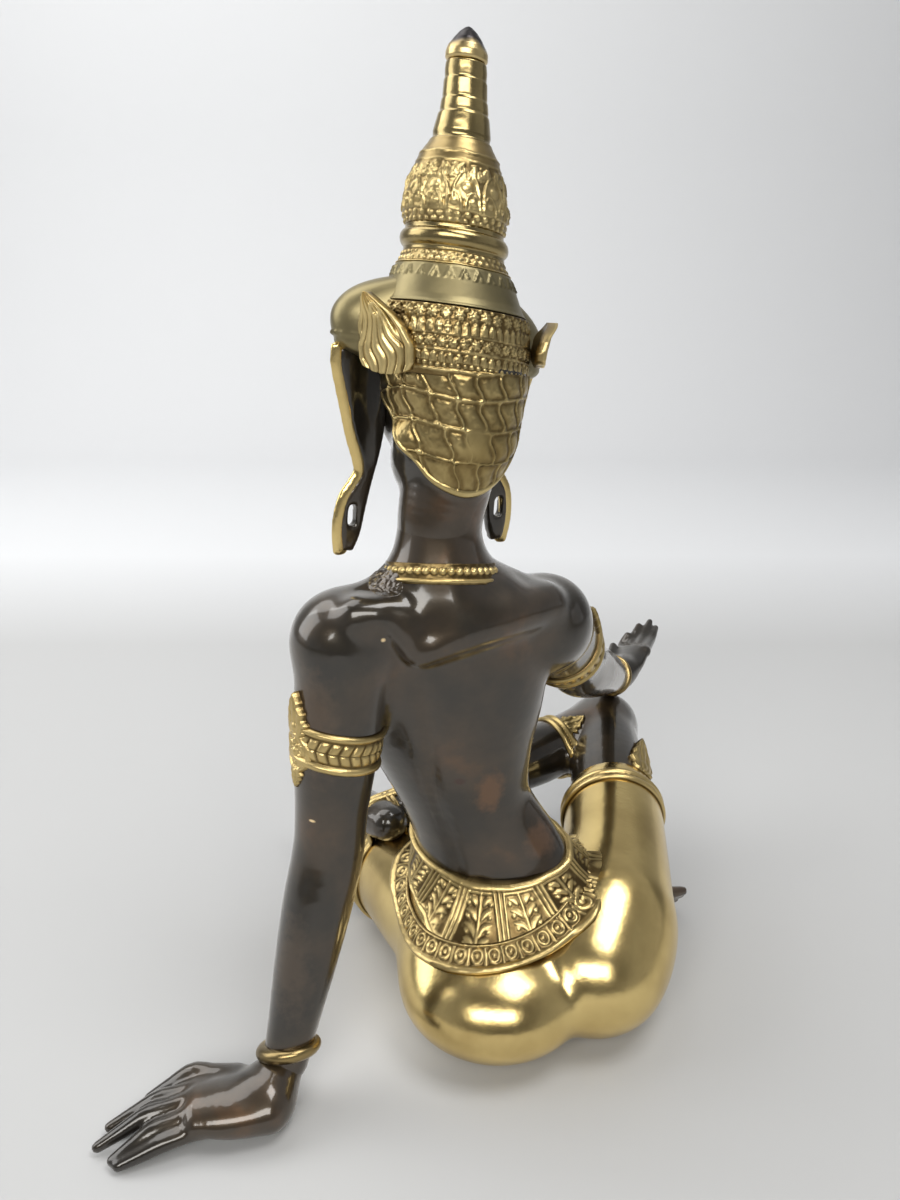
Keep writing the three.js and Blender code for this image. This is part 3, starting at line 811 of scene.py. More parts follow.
def left_hand():
    clay = Clay((44, 86, -2), (134, 146, 34), 0.78)
    clay.add(limb([(56.4, 99.5, 24, 8.8), (57.6, 101.5, 18, 8.8), (63, 110, 12.5, 10.5)], 8))
    palm = [(62, 115, 11, 13, 10), (76, 117, 11.5, 14.5, 9.2), (88, 118, 11.5, 13, 7)]
    clay.add(limb(palm, 10, left_of(81)), 7)
    for digit in (((87, 108.2, 13), (105, 113.4, 11.5), (123.4, 120.2, 3.8)),
                  ((90, 114.6, 12.6), (108, 121.4, 11.3), (125.5, 129.9, 3.8)),
                  ((89, 121, 11.4), (104, 127.6, 9.8), (118, 136, 3.6)),
                  ((86.5, 126.4, 9.2), (100, 131.8, 7.6), (115.2, 138.3, 3.4))):
        clay.add(finger(*digit, 3.6), 2.2)
    clay.add(finger((76, 103.5, 14.5), (94, 101.8, 13.5), (111.3, 106, 4.2), 4.2), 4)
    clay.cut_below(0.0)
    return clay


def right_hand():
    clay = Clay((-140, -162, 84), (-90, -88, 122), 0.7)
    across = unit(vec(-0.75, 0.45, 0.25))
    knuckles = vec(-113.5, -126, 102)
    clay.add(limb([(*mix(R_ELBOW, R_WRIST, 0.9), 8.9), (*R_WRIST, 8.6), (-103, -107, 97.5, 9)], 8))
    palm = [(-103, -107, 97.5, 9.5, 7.5), (-108, -115, 98.5, 10.8, 6.2), (*knuckles, 10.6, 4.4)]
    clay.add(limb(palm, 8, across), 5)
    tips = [(-112.9, -141, 106.5), (-120.5, -148, 109.5), (-127.5, -152, 110.5), (-131, -151, 107)]
    for k, tip in enumerate(tips):
        root = knuckles + across * (k - 1.5) * 5.3
        clay.add(finger(root, mix(root, tip, 0.52) + vec(0, -1.5, -1.6), tip, 3.1), 2)
    clay.add(finger((-100, -107, 96.5), (-101, -119, 100), (-103, -129, 104.5), 3.6), 3)
    return clay


def trousers():
    clay = Clay((-124, -82, -3), (48, 122, 96), 1.7)
    clay.add(ball((-29.5, 60, 26), (42, 43, 26.8)))
    clay.add(ball((-72, 52, 31), (34, 37, 31)), 5)
    clay.add(ball((-42, 32, 36), (44, 36, 32)), 14)
    clay.add(ball((-25, 27, 46), (30, 22, 17)), 8)
    clay.add(limb([(-82, 36, 40, 29, 33, 0), (-87, 8, 47, 26, 31, 0), (-90, -15, 53, 24.5, 29, 0),
                   (-91, -29, 56, 24, 27, 0)], 20), 14)
    clay.add(limb([(*L_HIP, 32), (-4, 12, 31, 30), (8, -8, 29, 27), (*mix(L_HIP, L_KNEE, 0.6), 25)], 20), 12)
    clay.cut_below(0.0)
    return clay


def shin(knee, ankle, radii):
    return limb(along(knee, ankle, zip((0, 0.2, 0.36, 0.65, 0.88, 1), radii)), 20)


def knees_and_shins():
    clay = Clay((-128, -122, -3), (72, 40, 96), 1.55)
    clay.add(limb([(-91, -22, 55, 22, 25, 0), (-92, -48, 62, 20, 23, 0), (-93.5, -76, 68.5, 17.5, 19.5, 0),
                   (*R_KNEE, 16.5, 18, 0)], 20))
    clay.add(shin(R_KNEE, R_ANKLE, (17.6, 15.4, 16.2, 12.6, 9.6, 9.6)), 7)
    clay.add(limb(along(L_HIP, L_KNEE, ((0.5, 24), (0.75, 21.5), (1, 18.5))), 16))
    clay.add(shin(L_KNEE, L_ANKLE, (18, 16, 16.4, 13, 10, 10)), 7)
    clay.cut_below(0.0)
    return clay


def foot(low, high, ankle, toes, across):
    clay = Clay(low, high, 1.0)
    run = unit(toes - ankle)
    side = unit(across - run * (across @ run))
    heel = ankle - run * 9
    tread = mix(ankle, toes, 0.62)
    sole = [(*heel, 9, 9.5), (*ankle, 10, 10.5), (*mix(ankle, toes, 0.35), 9.5, 8.5), (*tread, 11, 5.8)]
    clay.add(limb(sole, 14, side))
    for k in range(5):
        root = tread + side * (k - 2) * 4.3
        tip = toes + side * (k - 2) * 3.8 + run * (3.4 - 1.9 * abs(k - 3.3))
        clay.add(finger(root, mix(root, tip, 0.5), tip, 3.0 if k < 4 else 3.9), 1.2)
    clay.cut_below(0.0)
    return clay


def head():
    clay = Clay((-58, 0, 212), (40, 100, 326), 0.8)

    def tube(stations, steps=8, side=1, across=(1, 0, 0)):
        """A limb through places in the head, mirrored where side is -1."""
        return limb([(*in_head(side * x, y, z), *sizes) for x, y, z, *sizes in stations], steps, across)

    def lump(x, y, z, *radii):
        return ball(in_head(x, y, z), radii, HEAD_AXES)

    def both(make, blend, work=clay.add):
        for side in (1, -1):
            work(make(side), blend)

    clay.add(limb([(-5.6, 56.4, 222, 15.9), (-5.8, 56, 234, 15.8), (-9, 53.6, 250, 17)], 12))
    clay.add(lump(0, 0.5, 9, 25, 26.5, 28), 8)
    clay.add(tube([(0, -6, 20, 22, 19), (0, -6.8, 5, 22, 19), (0, -7.6, -9, 20.4, 18),
                   (0, -9.5, -20, 16.6, 15.4), (0, -13, -28.5, 11, 11), (0, -16, -33, 6.5, 6.5)],
                  20, across=HEAD_LEFT), 6)
    clay.add(lump(0, 9, -12, 18, 16, 17), 8)
    both(lambda s: tube([(19, 2, -14, 6), (13, -10, -25, 5.5), (4, -19, -31.5, 4.5)], 8, s), 7)
    clay.add(lump(0, -20.5, -30.5, 6, 5, 5), 5)
    both(lambda s: lump(12.5 * s, -18, -9, 7.5, 6.5, 8), 7)
    # eyes under arched brows, half closed
    both(lambda s: lump(9.6 * s, -24.6, 1.2, 6.6, 4.2, 4.2), 4, clay.cut)
    both(lambda s: lump(9.6 * s, -20.6, 0.6, 6.4, 4.6, 4.4), 1)
    upper_lid = [(3.8, -24.2, -0.4, 0.9), (9.4, -25.6, 0.9, 1.1), (15.8, -21.6, 1.0, 0.8)]
    lower_lid = [(4.2, -24, -1.6, 0.5), (9.4, -25, -3.0, 0.6), (15, -21.4, -0.8, 0.5)]
    brow = [(2.6, -26.2, 5.4, 1.1), (9, -25.8, 9.4, 1.3), (17.5, -20.4, 8, 0.9)]
    for line, blend in ((upper_lid, 0.8), (lower_lid, 0.8), (brow, 2.4)):
        both(lambda s: tube(line, 8, s), blend)
    # nose
    clay.add(tube([(0, -25.2, 7, 2.1), (0, -27.6, -2, 2.3), (0, -30.2, -9.4, 2.9)]), 3.5)
    clay.add(lump(0, -30.4, -10.6, 3.0, 2.9, 2.6), 1.6)
    both(lambda s: lump(3.4 * s, -27.4, -11.6, 2.2, 2.8, 2.0), 1.6)
    both(lambda s: lump(1.7 * s, -28.8, -13.6, 0.9, 1.3, 0.8), 0.8, clay.cut)
    # lips, closed and calm
    clay.add(tube([(-7.4, -22.6, -19.4, 0.9), (-3, -25.6, -18.2, 1.6), (0, -26, -18.7, 1.4),
                   (3, -25.6, -18.2, 1.6), (7.4, -22.6, -19.4, 0.9)], 12), 1.6)
    clay.add(tube([(-6, -23, -21, 1.0), (0, -25.7, -22.2, 2.0), (6, -23, -21, 1.0)], 10), 1.4)
    clay.cut(tube([(-7.6, -24, -19.9, 0.35), (0, -28, -20.4, 0.4), (7.6, -24, -19.9, 0.35)], 10), 0.9)
    return clay


# How long the grain's strip is across the patch
PATCH_GIRTH = 100


def rough_patch(x, y):
    """The uneven join at the foot of the neck."""
    share = x / PATCH_GIRTH + 0.5
    coarse, fine = (np.abs(grain(share, y, PATCH_GIRTH, size, seed)) for size, seed in ((1.5, 71), (0.7, 73)))
    middle = dome(x / 8.5, y / 6.0)
    return np.where(middle > 0, 0.1 + 0.9 * (coarse + 0.5 * fine) * middle, -0.9)


torso_clay = upper_body()
modelled("torso_and_arms", torso_clay, PATINA, 5)
modelled("left_hand", left_hand(), PATINA)
applique("neck_patch", [torso_clay], vec(14, 70, 211), (0.30, 0.55, 0.72), (-0.4, 0.0, 1.0), (8.5, -6, 6),
         rough_patch, PATINA)
modelled("right_hand", right_hand(), PATINA)
legs_clay = trousers()
modelled("trousers", legs_clay, GOLD, 5)
shin_clay = knees_and_shins()
modelled("knees_and_shins", shin_clay, PATINA, 3)
modelled("left_foot", foot((-146, -56, -2), (-42, 26, 32), L_ANKLE, L_TOES, vec(0.1, 0.5, 0.85)), PATINA)
modelled("right_foot", foot((6, -108, 18), (90, 6, 82), R_ANKLE, R_TOES, vec(0.19, -0.18, 0.97)), PATINA)
head_clay = head()
modelled("head", head_clay, PATINA, 1)

# The crown, as rows of height on the head's axis and radius
CROWN_PROFILE = [
    (-4, 24), (2, 26.6), (6, 27.2), (9, 27.7), (14, 28.2), (19.7, 28.4), (26, 27.9), (29.5, 27.4),
    (31.0, 27.6), (31.6, 26.6), (34.5, 25.0), (38.8, 23.3), (41, 22.4), (44.5, 20.9), (45.4, 20.3),
    (46.2, 19.2), (48.2, 18.4), (49.6, 18.0), (51.2, 17.9), (51.8, 18.6), (52.8, 19.2), (54.2, 19.4),
    (55.6, 19.1), (56.6, 18.4), (57.3, 17.5), (58.9, 17.4), (60.9, 17.8), (64, 18.1), (67.6, 17.9),
    (71, 17.0), (74.2, 16.3), (77.5, 15.4), (80.5, 14.5), (82.6, 13.7), (84.6, 12.4), (86.2, 11.3),
    (87.6, 10.6), (88.2, 10.0), (89.0, 9.9), (90.2, 10.1), (93, 9.6), (96.2, 8.9), (96.9, 8.3),
    (98, 8.4), (100.8, 8.1), (101.4, 7.7), (102.3, 7.8), (107.1, 7.5), (107.8, 7.1), (108.6, 7.2),
    (110.5, 7.3), (112.9, 7.0), (113.5, 6.2), (114.3, 6.7), (115.9, 6.7), (118.2, 6.2), (120.5, 4.9),
    (122.7, 3.1), (124.2, 1.3), (124.7, 0.2),
]
# How long the grain's strips are around the crown's foot, its bulb and its skirt
CROWN_GIRTH, BULB_GIRTH, SKIRT_GIRTH = 176, 110, 140


def uneven(share, s, seed, shift):
    """Rows that wander a little, as hand-worked wax does."""
    return s + shift * grain(share, s, 170, 6.0, seed) + 0.4 * shift * grain(share, s, 170, 2.0, seed + 1)


def crown_relief(share, s, r):
    worn = 0.8 + 0.5 * grain(share, s, CROWN_GIRTH, 5.0, 9)
    share = share + 0.0012 * grain(share, s, CROWN_GIRTH, 4.0, 11)
    t = uneven(share, s, 13, 0.5)
    rows = Rows(share, t, r)
    high = np.maximum.reduce([
        rows.rosettes(37, 28.4, 2.1, 0.95),
        rows.beads(37, 30.4, 0.7, 0.5),
        rows.petals(56, 22.0, 26.2, 0.85),
        ridge(t, 21.6, 0.35, 0.5),
        rows.rosettes(44, 18.9, 1.85, 0.9, 0.5),
        rows.beads(44, 20.6, 0.6),
        rows.beads(44, 17.2, 0.6),
        ridge(t, 16.2, 0.35, 0.5),
        rows.petals(60, 12.4, 15.8, 0.75),
        rows.beads(74, 11.4, 0.75),
        ridge(t, 9.6, 0.5, 0.6),
    ]) * worn
    rough = 0.22 * grain(share, s, CROWN_GIRTH, 0.9, 3) + 0.25 * grain(share, s, CROWN_GIRTH, 2.2, 4)
    return high + np.where((s > 8) & (s < 31), rough, 0)


def bulb_relief(share, s, r):
    worn = 0.75 + 0.7 * grain(share, s, BULB_GIRTH, 3.0, 19)
    share = share + 0.0024 * grain(share, s, BULB_GIRTH, 3.0, 21)
    t = uneven(share, s, 23, 0.7)
    rows = Rows(share, t, r)
    high = np.maximum.reduce([
        ridge(t, 45.4, 0.35, 0.45),
        rows.beads(46, 47.0, 0.75),
        rows.beads(46, 48.8, 0.65, 0.5),
        rows.beads(40, 59.6, 0.75),
        rows.beads(34, 61.6, 0.95, 0.5),
        ridge(t, 63.1, 0.3, 0.45),
        rows.arches(17, 63.4, 69.0, 1.25),
        rows.arches(10, 66.5, 76.0, 1.3, 0.5),
        rows.rosettes(10, 75.0, 1.9, 0.9),
        rows.petals(20, 73.6, 78.2, 0.85, 0.5),
        rows.beads(30, 77.8, 0.55),
        ridge(t, 79.6, 0.3, 0.3),
        ridge(t, 82.6, 0.4, 0.35),
    ]) * worn
    carved = ((s > 59) & (s < 79)) | ((s > 45.6) & (s < 49.8))
    rough = 0.16 * grain(share, s, BULB_GIRTH, 0.8, 5) + 0.3 * grain(share, s, BULB_GIRTH, 1.9, 6)
    return 0.2 + high + np.where(carved, rough, 0)


def skirt_relief(share, s, r):
    points = Rows(share, uneven(share, s, 27, 0.4), r).carets(27, 40.6, 43.8, 0.85)
    return np.maximum(points, ridge(s, 31.7, 0.6, 0.5)) * (0.8 + 0.5 * grain(share, s, SKIRT_GIRTH, 5.0, 29))


def plain_relief(share, s, r):
    return 0.14 * grain(share, s, 50, 5.0, 61) + 0.06 * grain(share, s, 50, 1.6, 62)


def bud_relief(share, s, r):
    return 0.6 * smoothstep(119.5, 115.5, s + 3 * grain(share, s, 30, 3.0, 63))


def crown_part(name, foot, low, high, top, *more):
    """The crown's profile from low to high, between rows that close it at its foot and top."""
    turned("crown_" + name, foot + [row for row in CROWN_PROFILE if low <= row[0] <= high] + top, *more)


crown_part("tiers", [(7.2, 22), (7.4, 27.0)], 7.5, 31.5, [(31.8, 22)], crown_relief, 0.42, 390, RELIEF)
crown_part("bell", [(31.0, 22)], 31.5, 45.4, [(46, 16)], skirt_relief, 0.45, 260, SATIN)
crown_part("bulb", [(44.8, 18)], 45.4, 49.6, [(50.4, 16)], bulb_relief, 0.38, 280, RELIEF)
crown_part("ring", [(49.4, 16)], 49.6, 58.9, [(59.2, 15)], plain_relief, 0.5, 160, TURNED)
crown_part("petals", [(58.2, 15)], 58.9, 87.6, [(88.4, 8)], bulb_relief, 0.38, 280, RELIEF)
crown_part("spire", [(87.2, 8)], 87.6, 113.5, [], plain_relief, 0.4, 90, TURNED)
crown_part("bud", [], 113.5, 125, [], bud_relief, 0.3, 90, BUD)


# The net over the hair: four rows of tiles between raised cords, drawn to a point at the nape
NET_TURN = 12
NET_REACH = 105
NET_GIRTH = 170
NET_TOP = 11.0
# The net takes six tenths of the crown's skew, at a radius of 26
NET_SKEW = 0.6 * 26
NET_EDGE = [(-105, -1), (-80, -9), (-63, -18.5), (-46, -27), (-25, -32), (0, -34.2), (25, -32.5), (46, -28),
            (63, -20), (80, -11), (105, -2)]
NET_ROWS = [11.5, 2.0, -8.5, -20.0, -31.5]
NET_CORDS = [(-78, -58, -38, -18, 2.6, 22, 44, 66, 88), (-76, -57, -38, -18, -2, 16, 37, 63, 86),
             (-70, -51, -32, -12, 7, 24, 54, 78), (-50, -28, -6, 16, 49, 70)]


def net_relief(turn, s, r, edge):
    share = turn / 360 + 0.5
    sway = grain(share, s, NET_GIRTH, 9.0, 31)
    level = s + 0.9 * sway + 1.2 * np.cos(np.radians(turn) * 3)
    line = np.abs(level[..., None] - np.array(NET_ROWS)).min(-1)
    across = np.full(s.shape, 99.0)
    for k, cords in enumerate(NET_CORDS):
        here = (level <= NET_ROWS[k]) & (level > NET_ROWS[k + 1])
        lean = (level - NET_ROWS[k]) * 0.35
        bow = 2.5 * sway + 2.2 * np.sin((level - NET_ROWS[k]) * 0.55)
        gap = np.abs((turn + bow)[..., None] - np.array(cords) - lean[..., None]).min(-1)
        across = np.where(here, np.radians(gap) * r, across)
    near = np.minimum(line, across)
    high = 0.62 * hump(near, 0, 0.34) - 0.28 * hump(near, 0.85, 0.42) + 0.35 * smoothstep(0.6, 3.2, near)
    knot = np.sqrt(np.maximum(1.2 ** 2 - np.hypot(line, across) ** 2, 0))
    high = np.maximum(high, knot * (0.45 + 0.55 * smoothstep(0, 30, turn)))
    high += 0.16 * grain(share, s, NET_GIRTH, 1.0, 33) + 0.22 * grain(share, s, NET_GIRTH, 2.6, 34)
    # one tile at the middle is worn plain
    plain = np.exp(-(turn / 10) ** 4 - ((s + 13.5) / 6.5) ** 4)
    high = mix(high, 0.45, plain)
    rim = dome((s - edge - 1.5) / 1.5) * 0.9
    return np.where(s - edge < 2.6, np.maximum(rim, high * smoothstep(1.6, 3.0, s - edge)), high)


def hair_net():
    turn = np.linspace(-NET_REACH, NET_REACH, 310)[None, :]
    edge = np.interp(turn, *spline(NET_EDGE, 211).T)
    s = NET_TOP + (edge - NET_TOP) * np.linspace(0, 1, 108)[:, None]
    angle = np.radians(turn + NET_TURN) + 0 * s
    out = np.sin(angle)[..., None] * HEAD_LEFT + np.cos(angle)[..., None] * HEAD_BACK
    skew = NET_SKEW * (CROWN_SKEW[0] * np.sin(angle) + CROWN_SKEW[1] * np.cos(angle))
    origin = HEAD + (s + skew)[..., None] * CROWN_UP
    length = softened(hugged([head_clay], origin, out, 50), 14)
    high = net_relief(turn + 0 * s, s, length, edge + 0 * s)
    outer = origin + out * (length + 0.9 + high)[..., None]
    shell("hair_net", outer, origin + out * (length - 2)[..., None], NETTED, high)


hair_net()

# The tiara, a smooth brim that flares out over the temples and forehead.
# Rows of height, reach aside and reach in front
TIARA_REACH = 118
TIARA_FOOT = 23
TIARA_BEADS, TIARA_PITCH = 84, 3.1
TIARA_ROWS = [(9.5, 31, 28), (12, 39, 33), (15, 43, 35.5), (19, 44.8, 36.5), (24, 45, 37), (28, 43.4, 36),
              (32, 40, 33.5), (35.5, 35, 30), (38.5, 28, 25), (40.5, 21, 21)]


def tiara():
    table = spline(TIARA_ROWS, 72)
    turn = np.radians(np.linspace(-TIARA_REACH, TIARA_REACH, 170))[None, :] + 0 * table[:, :1]
    s, side, front = (table[:, k][:, None] + 0 * turn for k in range(3))
    fade = smoothstep(TIARA_REACH, 78, np.abs(np.degrees(turn)))
    wide = side * np.abs(np.sin(turn)) ** 2 + front * np.cos(turn) ** 2
    r = TIARA_FOOT + (wide - TIARA_FOOT) * fade
    notches = hump(s, 13.5, 1.9, 4) * np.sqrt(np.abs(np.sin(turn * 26)))
    rows = Rows(turn / (2 * np.pi), s, TIARA_BEADS * TIARA_PITCH / (2 * np.pi))
    high = (notches + rows.beads(TIARA_BEADS, 17.4, 0.9)) * fade

    def ring(radius):
        left = radius * np.sin(turn)
        return in_head(left, -radius * np.cos(turn) - 4, s + CROWN_SKEW[0] * left)

    shell("tiara", ring(r + high), ring(r - 2.5), SATIN, high)


tiara()

# Ears: flat plates with a slit lobe that reaches the shoulder, edged with brass. Rows of left and up
EAR_OUTER = [(41.6, 18), (41.4, 12), (39.2, 4), (36.6, -5), (34, -14), (31, -22), (29.8, -27.5), (32.2, -32),
             (35.4, -37), (37, -44), (37.2, -51), (36.2, -58)]
EAR_INNER = [(31, -58.5), (28.4, -52), (27, -44), (25.6, -36), (24.2, -29), (22.2, -20), (21, -8), (22, 6),
             (27, 13), (35, 18)]
EAR_SLANT = 0.11
EAR_BLOCK = 52


def ears():
    for side, name in ((1, "left"), (-1, "right")):
        low = in_head(side * 31.0, -16.0, -18.0) - EAR_BLOCK
        clay, edge = (Clay(low, low + 2 * EAR_BLOCK, 0.8) for _ in range(2))
        outline = np.vstack([spline(EAR_OUTER, 34), spline(EAR_INNER, 26)]) * (side, 1)
        rise = head_turned(*unit(vec(0, EAR_SLANT, 1)))
        clay.add(slab(outline, in_head(0, -14.6, 0), HEAD_LEFT, rise, 2.4, 1.6))
        for up in np.linspace(-41.5, -46.5, 5):
            ends = [vec(*in_head(32.4 * side, back, up), 1.7, 1.7) for back in (-30.0, -5.0)]
            clay.cut([segment(*ends, HEAD_LEFT)], 0.6)
        behind = [(30, -8.0, 14, 5.5), (29.5, -9.0, -6, 5.0), (28.5, -11.0, -24, 3)]
        clay.cut(limb([(*in_head(x * side, y, z), r) for x, y, z, r in behind], 10), 2.5)
        modelled("ear_" + name, clay, PATINA, 1)
        rim = [(*in_head(side * (x - 0.3), -14.2 + EAR_SLANT * z, z), 3.0, 1.7) for x, z in EAR_OUTER]
        edge.add(limb(rim, 60, HEAD_LEFT))
        modelled("ear_rim_" + name, edge, GOLD, 1)


ears()

# The leaf-shaped wings behind the ears
WING_HALF = 11.3
WING_OUT = 28.6
WING_LEFT, WING_BACK = 0.866, 0.5


# Side, name, height of the foot, height of the wing and how far it stands forward
WINGS = ((1, "left", 9.5, 27.0, 10.0), (-1, "right", 12.5, 16.0, 2.0))
WING_OUTLINE = [0, 0.12, 0.35, 0.6, 0.8, 0.93, 1], [0.86, 0.98, 1, 0.82, 0.52, 0.26, 0.06]


def wings():
    for side, name, foot_level, tall, forward in WINGS:
        v = np.linspace(0, 1, 92)[:, None]
        u = np.linspace(-1, 1, 68)[None, :]
        u, v = u + 0 * v, v + 0 * u
        half = WING_HALF * np.interp(v, *WING_OUTLINE)
        x = np.interp(v, [0, 0.4, 0.75, 1], [0.5, 0.5, 2.8, 5.4]) + half * u
        y = foot_level + tall * v + 0.03 * x + 2.2 * (u * u) * (1 - v) ** 4
        fan = u * (2.4 + 2.0 * v) + 0.34 * np.sin(10 * v + 2.5 * u) - 0.6 * v
        strands = np.abs(np.sin(np.pi * fan)) ** 0.7 * smoothstep(-0.72, -0.6, u)
        scroll = np.exp(-(np.hypot(x - 2.6, y - foot_level - tall + 5.5) - 2.0) ** 2 / 0.5)
        rims = [1.5 * hump(u, -0.86, 0.13, 4), 0.9 * hump(u, 0.92, 0.07, 4)]
        high = np.maximum.reduce([1.1 * strands, *rims, 1.3 * scroll]) - 0.4 * hump(u, -0.62, 0.04)
        tangent = head_turned(side * WING_BACK, -WING_LEFT, 0)
        out = head_turned(side * WING_LEFT, WING_BACK, 0)
        aside = side * (WING_LEFT * WING_OUT + WING_BACK * forward)
        base = in_head(aside, WING_BACK * WING_OUT - WING_LEFT * forward, 0.0)
        curl = 0.14 * (y - 4) + 2.2 * smoothstep(0.65, 1.0, v) - 0.012 * x ** 2
        place = base + x[..., None] * tangent + y[..., None] * CROWN_UP
        outer = place + out * (curl + 1.2 + high)[..., None]
        shell("wing_" + name, outer, place + out * (curl - 1.2)[..., None], RELIEF, high)


wings()

# Bands around the neck, arms and legs
BODY = [torso_clay, legs_clay, shin_clay]
LEGS = [shin_clay, legs_clay]
COLLAR_HEIGHT = 7.6
ARMLET_HEIGHT = 16.5
HEM_HEIGHT = 9
HEM_R = vec(-91.2, -27, 56)
HEM_L = mix(L_HIP, L_KNEE, 0.6)


def collar_relief(share, v, r):
    y = v * COLLAR_HEIGHT
    rows = [Rows(share, y, r).beads(38, 4.9, 1.55), 1.1 * hump(y, 1.3, 0.8, 4), 0.35 + 0 * v]
    return np.maximum.reduce(rows) + 0.15 * grain(share, y, 120, 1.4, 41)


def armlet_relief(share, v, r):
    """Pairs of slanting leaves along a mid line, between two plain borders."""
    low, high = 3.9, ARMLET_HEIGHT - 4.3
    y = v * ARMLET_HEIGHT
    rise = (y - (low + high) / 2) / ((high - low) / 2)
    x = repeats(share + 0.35 * np.abs(rise) / 24, 24)
    leaves = np.clip(1 - (x / 0.42) ** 2, 0, 1) * np.clip(1 - rise ** 4, 0, 1) * (np.abs(rise) > 0.08)
    row = (0.95 * np.sqrt(leaves) + 0.35) * ((y > 3) & (y < ARMLET_HEIGHT - 3))
    borders = np.maximum(hump(y, 1.7, 1.35, 4), hump(y, ARMLET_HEIGHT - 1.9, 1.5, 4)) * 1.7
    return np.maximum(borders, row) + 0.12 * grain(share, y, 105, 1.6, 43)


def flame_relief(width, height):
    """A flame: a round boss at the foot, and tongues that rise from it to a point."""
    def relief(x, y):
        t = np.clip(y / height, 0, 1)
        half = width * np.interp(t, [0, 0.12, 0.3, 0.55, 0.8, 1], [0.55, 0.92, 1.0, 0.72, 0.36, 0.03])
        half = half * (1 + 0.10 * np.sin(t * 26))
        u = x / np.maximum(half, 0.1)
        inside = (half - np.abs(x)) * ((y > 0) & (y < height))
        lines = np.abs(np.sin(np.pi * (u * 1.5 + 0.5 + 0.18 * np.sin(7 * t) * np.sign(x)))) ** 0.8
        body = 1.6 * (0.45 + 0.55 * np.maximum(lines, hump(inside, 0.8, 0.6)))
        boss = 2.0 * dome(x / (width * 0.42), (y - height * 0.2) / (width * 0.42))
        return np.where(inside > 0, np.maximum(body * np.clip(inside / 0.5, 0, 1), boss), -0.9)
    return relief


def medallion_relief(x, y):
    """The armlet's clasp: a round flower with a flame above and a small leaf below."""
    r = np.hypot(x, y)
    lobes = 0.78 + 0.22 * np.cos(8 * np.arctan2(y, x))
    petals = 1.5 * hump(r / 7.2, 0.66 * lobes, 0.16)
    flower = np.maximum.reduce([petals, 1.7 * hump(r, 7.4, 0.9), 2.2 * dome(r / 2.4), 0.7 + 0 * r])
    disc = np.where(r < 8.4, flower, -0.9)
    return np.maximum.reduce([disc, flame_relief(6.6, 17.5)(x, y - 6.5), flame_relief(4.2, 9.0)(x, -y - 6.2)])


def rolled(thick):
    """A plain rounded ring."""
    return lambda share, v, r: thick * dome(v * 2 - 1) + 0.06


def double_ridge(height, thick):
    """Two rounded rings with a row of beads between them."""
    def relief(share, v, r):
        y = v * height
        lower = dome((y - height * 0.22) / (height * 0.21)) * thick
        upper = dome((y - height * 0.76) / (height * 0.22)) * thick
        middle = Rows(share, y, r).beads(60, height * 0.49, 0.75)
        return np.maximum.reduce([lower, upper, middle, 0.25 + 0 * y])
    return relief


def ring_on(name, near, far, share, height, relief, size, tilt=(0, 0, 0), **more):
    """A band across a limb, `share` of the way from its near end to its far end."""
    axis = unit(far - near) + vec(*tilt)
    band(name, BODY, mix(near, far, share), axis, (1, 0, 0), -height / 2, height / 2, relief, size, **more)


def flame_on(name, clays, centre, out, up, width, height, lean=0.0):
    area = (math.floor(width) + 1, 0, height + 1)
    applique(name, clays, centre, out, up, area, flame_relief(width, height), AGED, lean)


band("collar", BODY, vec(-6, 57.5, 212.6), (-0.02, -0.28, 1), left_of(18), -4.4, 3.2,
     collar_relief, (26, 380), start=34, most=20.5)
for name, shoulder, elbow, share, tilt in (("left", L_SHOULDER, L_ELBOW, 0.455, (0.10, 0, 0)),
                                           ("right", R_SHOULDER, R_ELBOW, 0.47, (0, 0, 0))):
    ring_on(name + "_armlet", shoulder, elbow, share, ARMLET_HEIGHT, armlet_relief, (34, 320), tilt,
            start=22, most=17.6)
for name, shoulder, elbow, out in (("left", L_SHOULDER, L_ELBOW, (0.84, 0.54, 0.08)),
                                   ("right", R_SHOULDER, R_ELBOW, (-0.9, -0.3, 0.35))):
    applique(name + "_armlet_flame", [torso_clay], mix(shoulder, elbow, 0.47), out, shoulder - elbow,
             (9, -15.5, 24.5), medallion_relief, AGED, 0.06)
ring_on("left_bangle", L_ELBOW, L_WRIST, 0.95, 5.8, rolled(3.0), (18, 150), (-0.30, 0.1, 0),
        start=22, material=WORN)
ring_on("right_bangle", R_ELBOW, R_WRIST, 0.90, 3.8, rolled(1.5), (14, 120),
        start=20, most=10, material=WORN)
for name, centre, axis, size in (("right", HEM_R, R_KNEE - R_HIP, (24, 240)),
                                 ("left", HEM_L, L_KNEE - L_HIP, (18, 200))):
    band(name + "_hem", BODY, centre, axis, (1, 0, 0), -HEM_HEIGHT / 2, HEM_HEIGHT / 2,
         double_ridge(HEM_HEIGHT, 1.9), size, start=36)
ring_on("right_knee_ring", R_KNEE, R_ANKLE, 0.24, 7, double_ridge(7, 1.8), (24, 240), start=24, most=17.5)
ring_on("left_knee_ring", L_KNEE, L_ANKLE, 0.24, 7, double_ridge(7, 1.8), (18, 180), start=24, most=18.5)
for name, knee, ankle, share in (("right", R_KNEE, R_ANKLE, 0.96), ("left", L_KNEE, L_ANKLE, 0.94)):
    ring_on(name + "_anklet", knee, ankle, share, 5, double_ridge(5, 1.4), (14, 140),
            start=18, most=12, material=WORN)
flame_on("right_hem_flame", LEGS, mix(HEM_R, R_KNEE, 0.1), (-0.62, 0.1, 0.78), R_KNEE - R_HIP, 8, 25, 0.16)
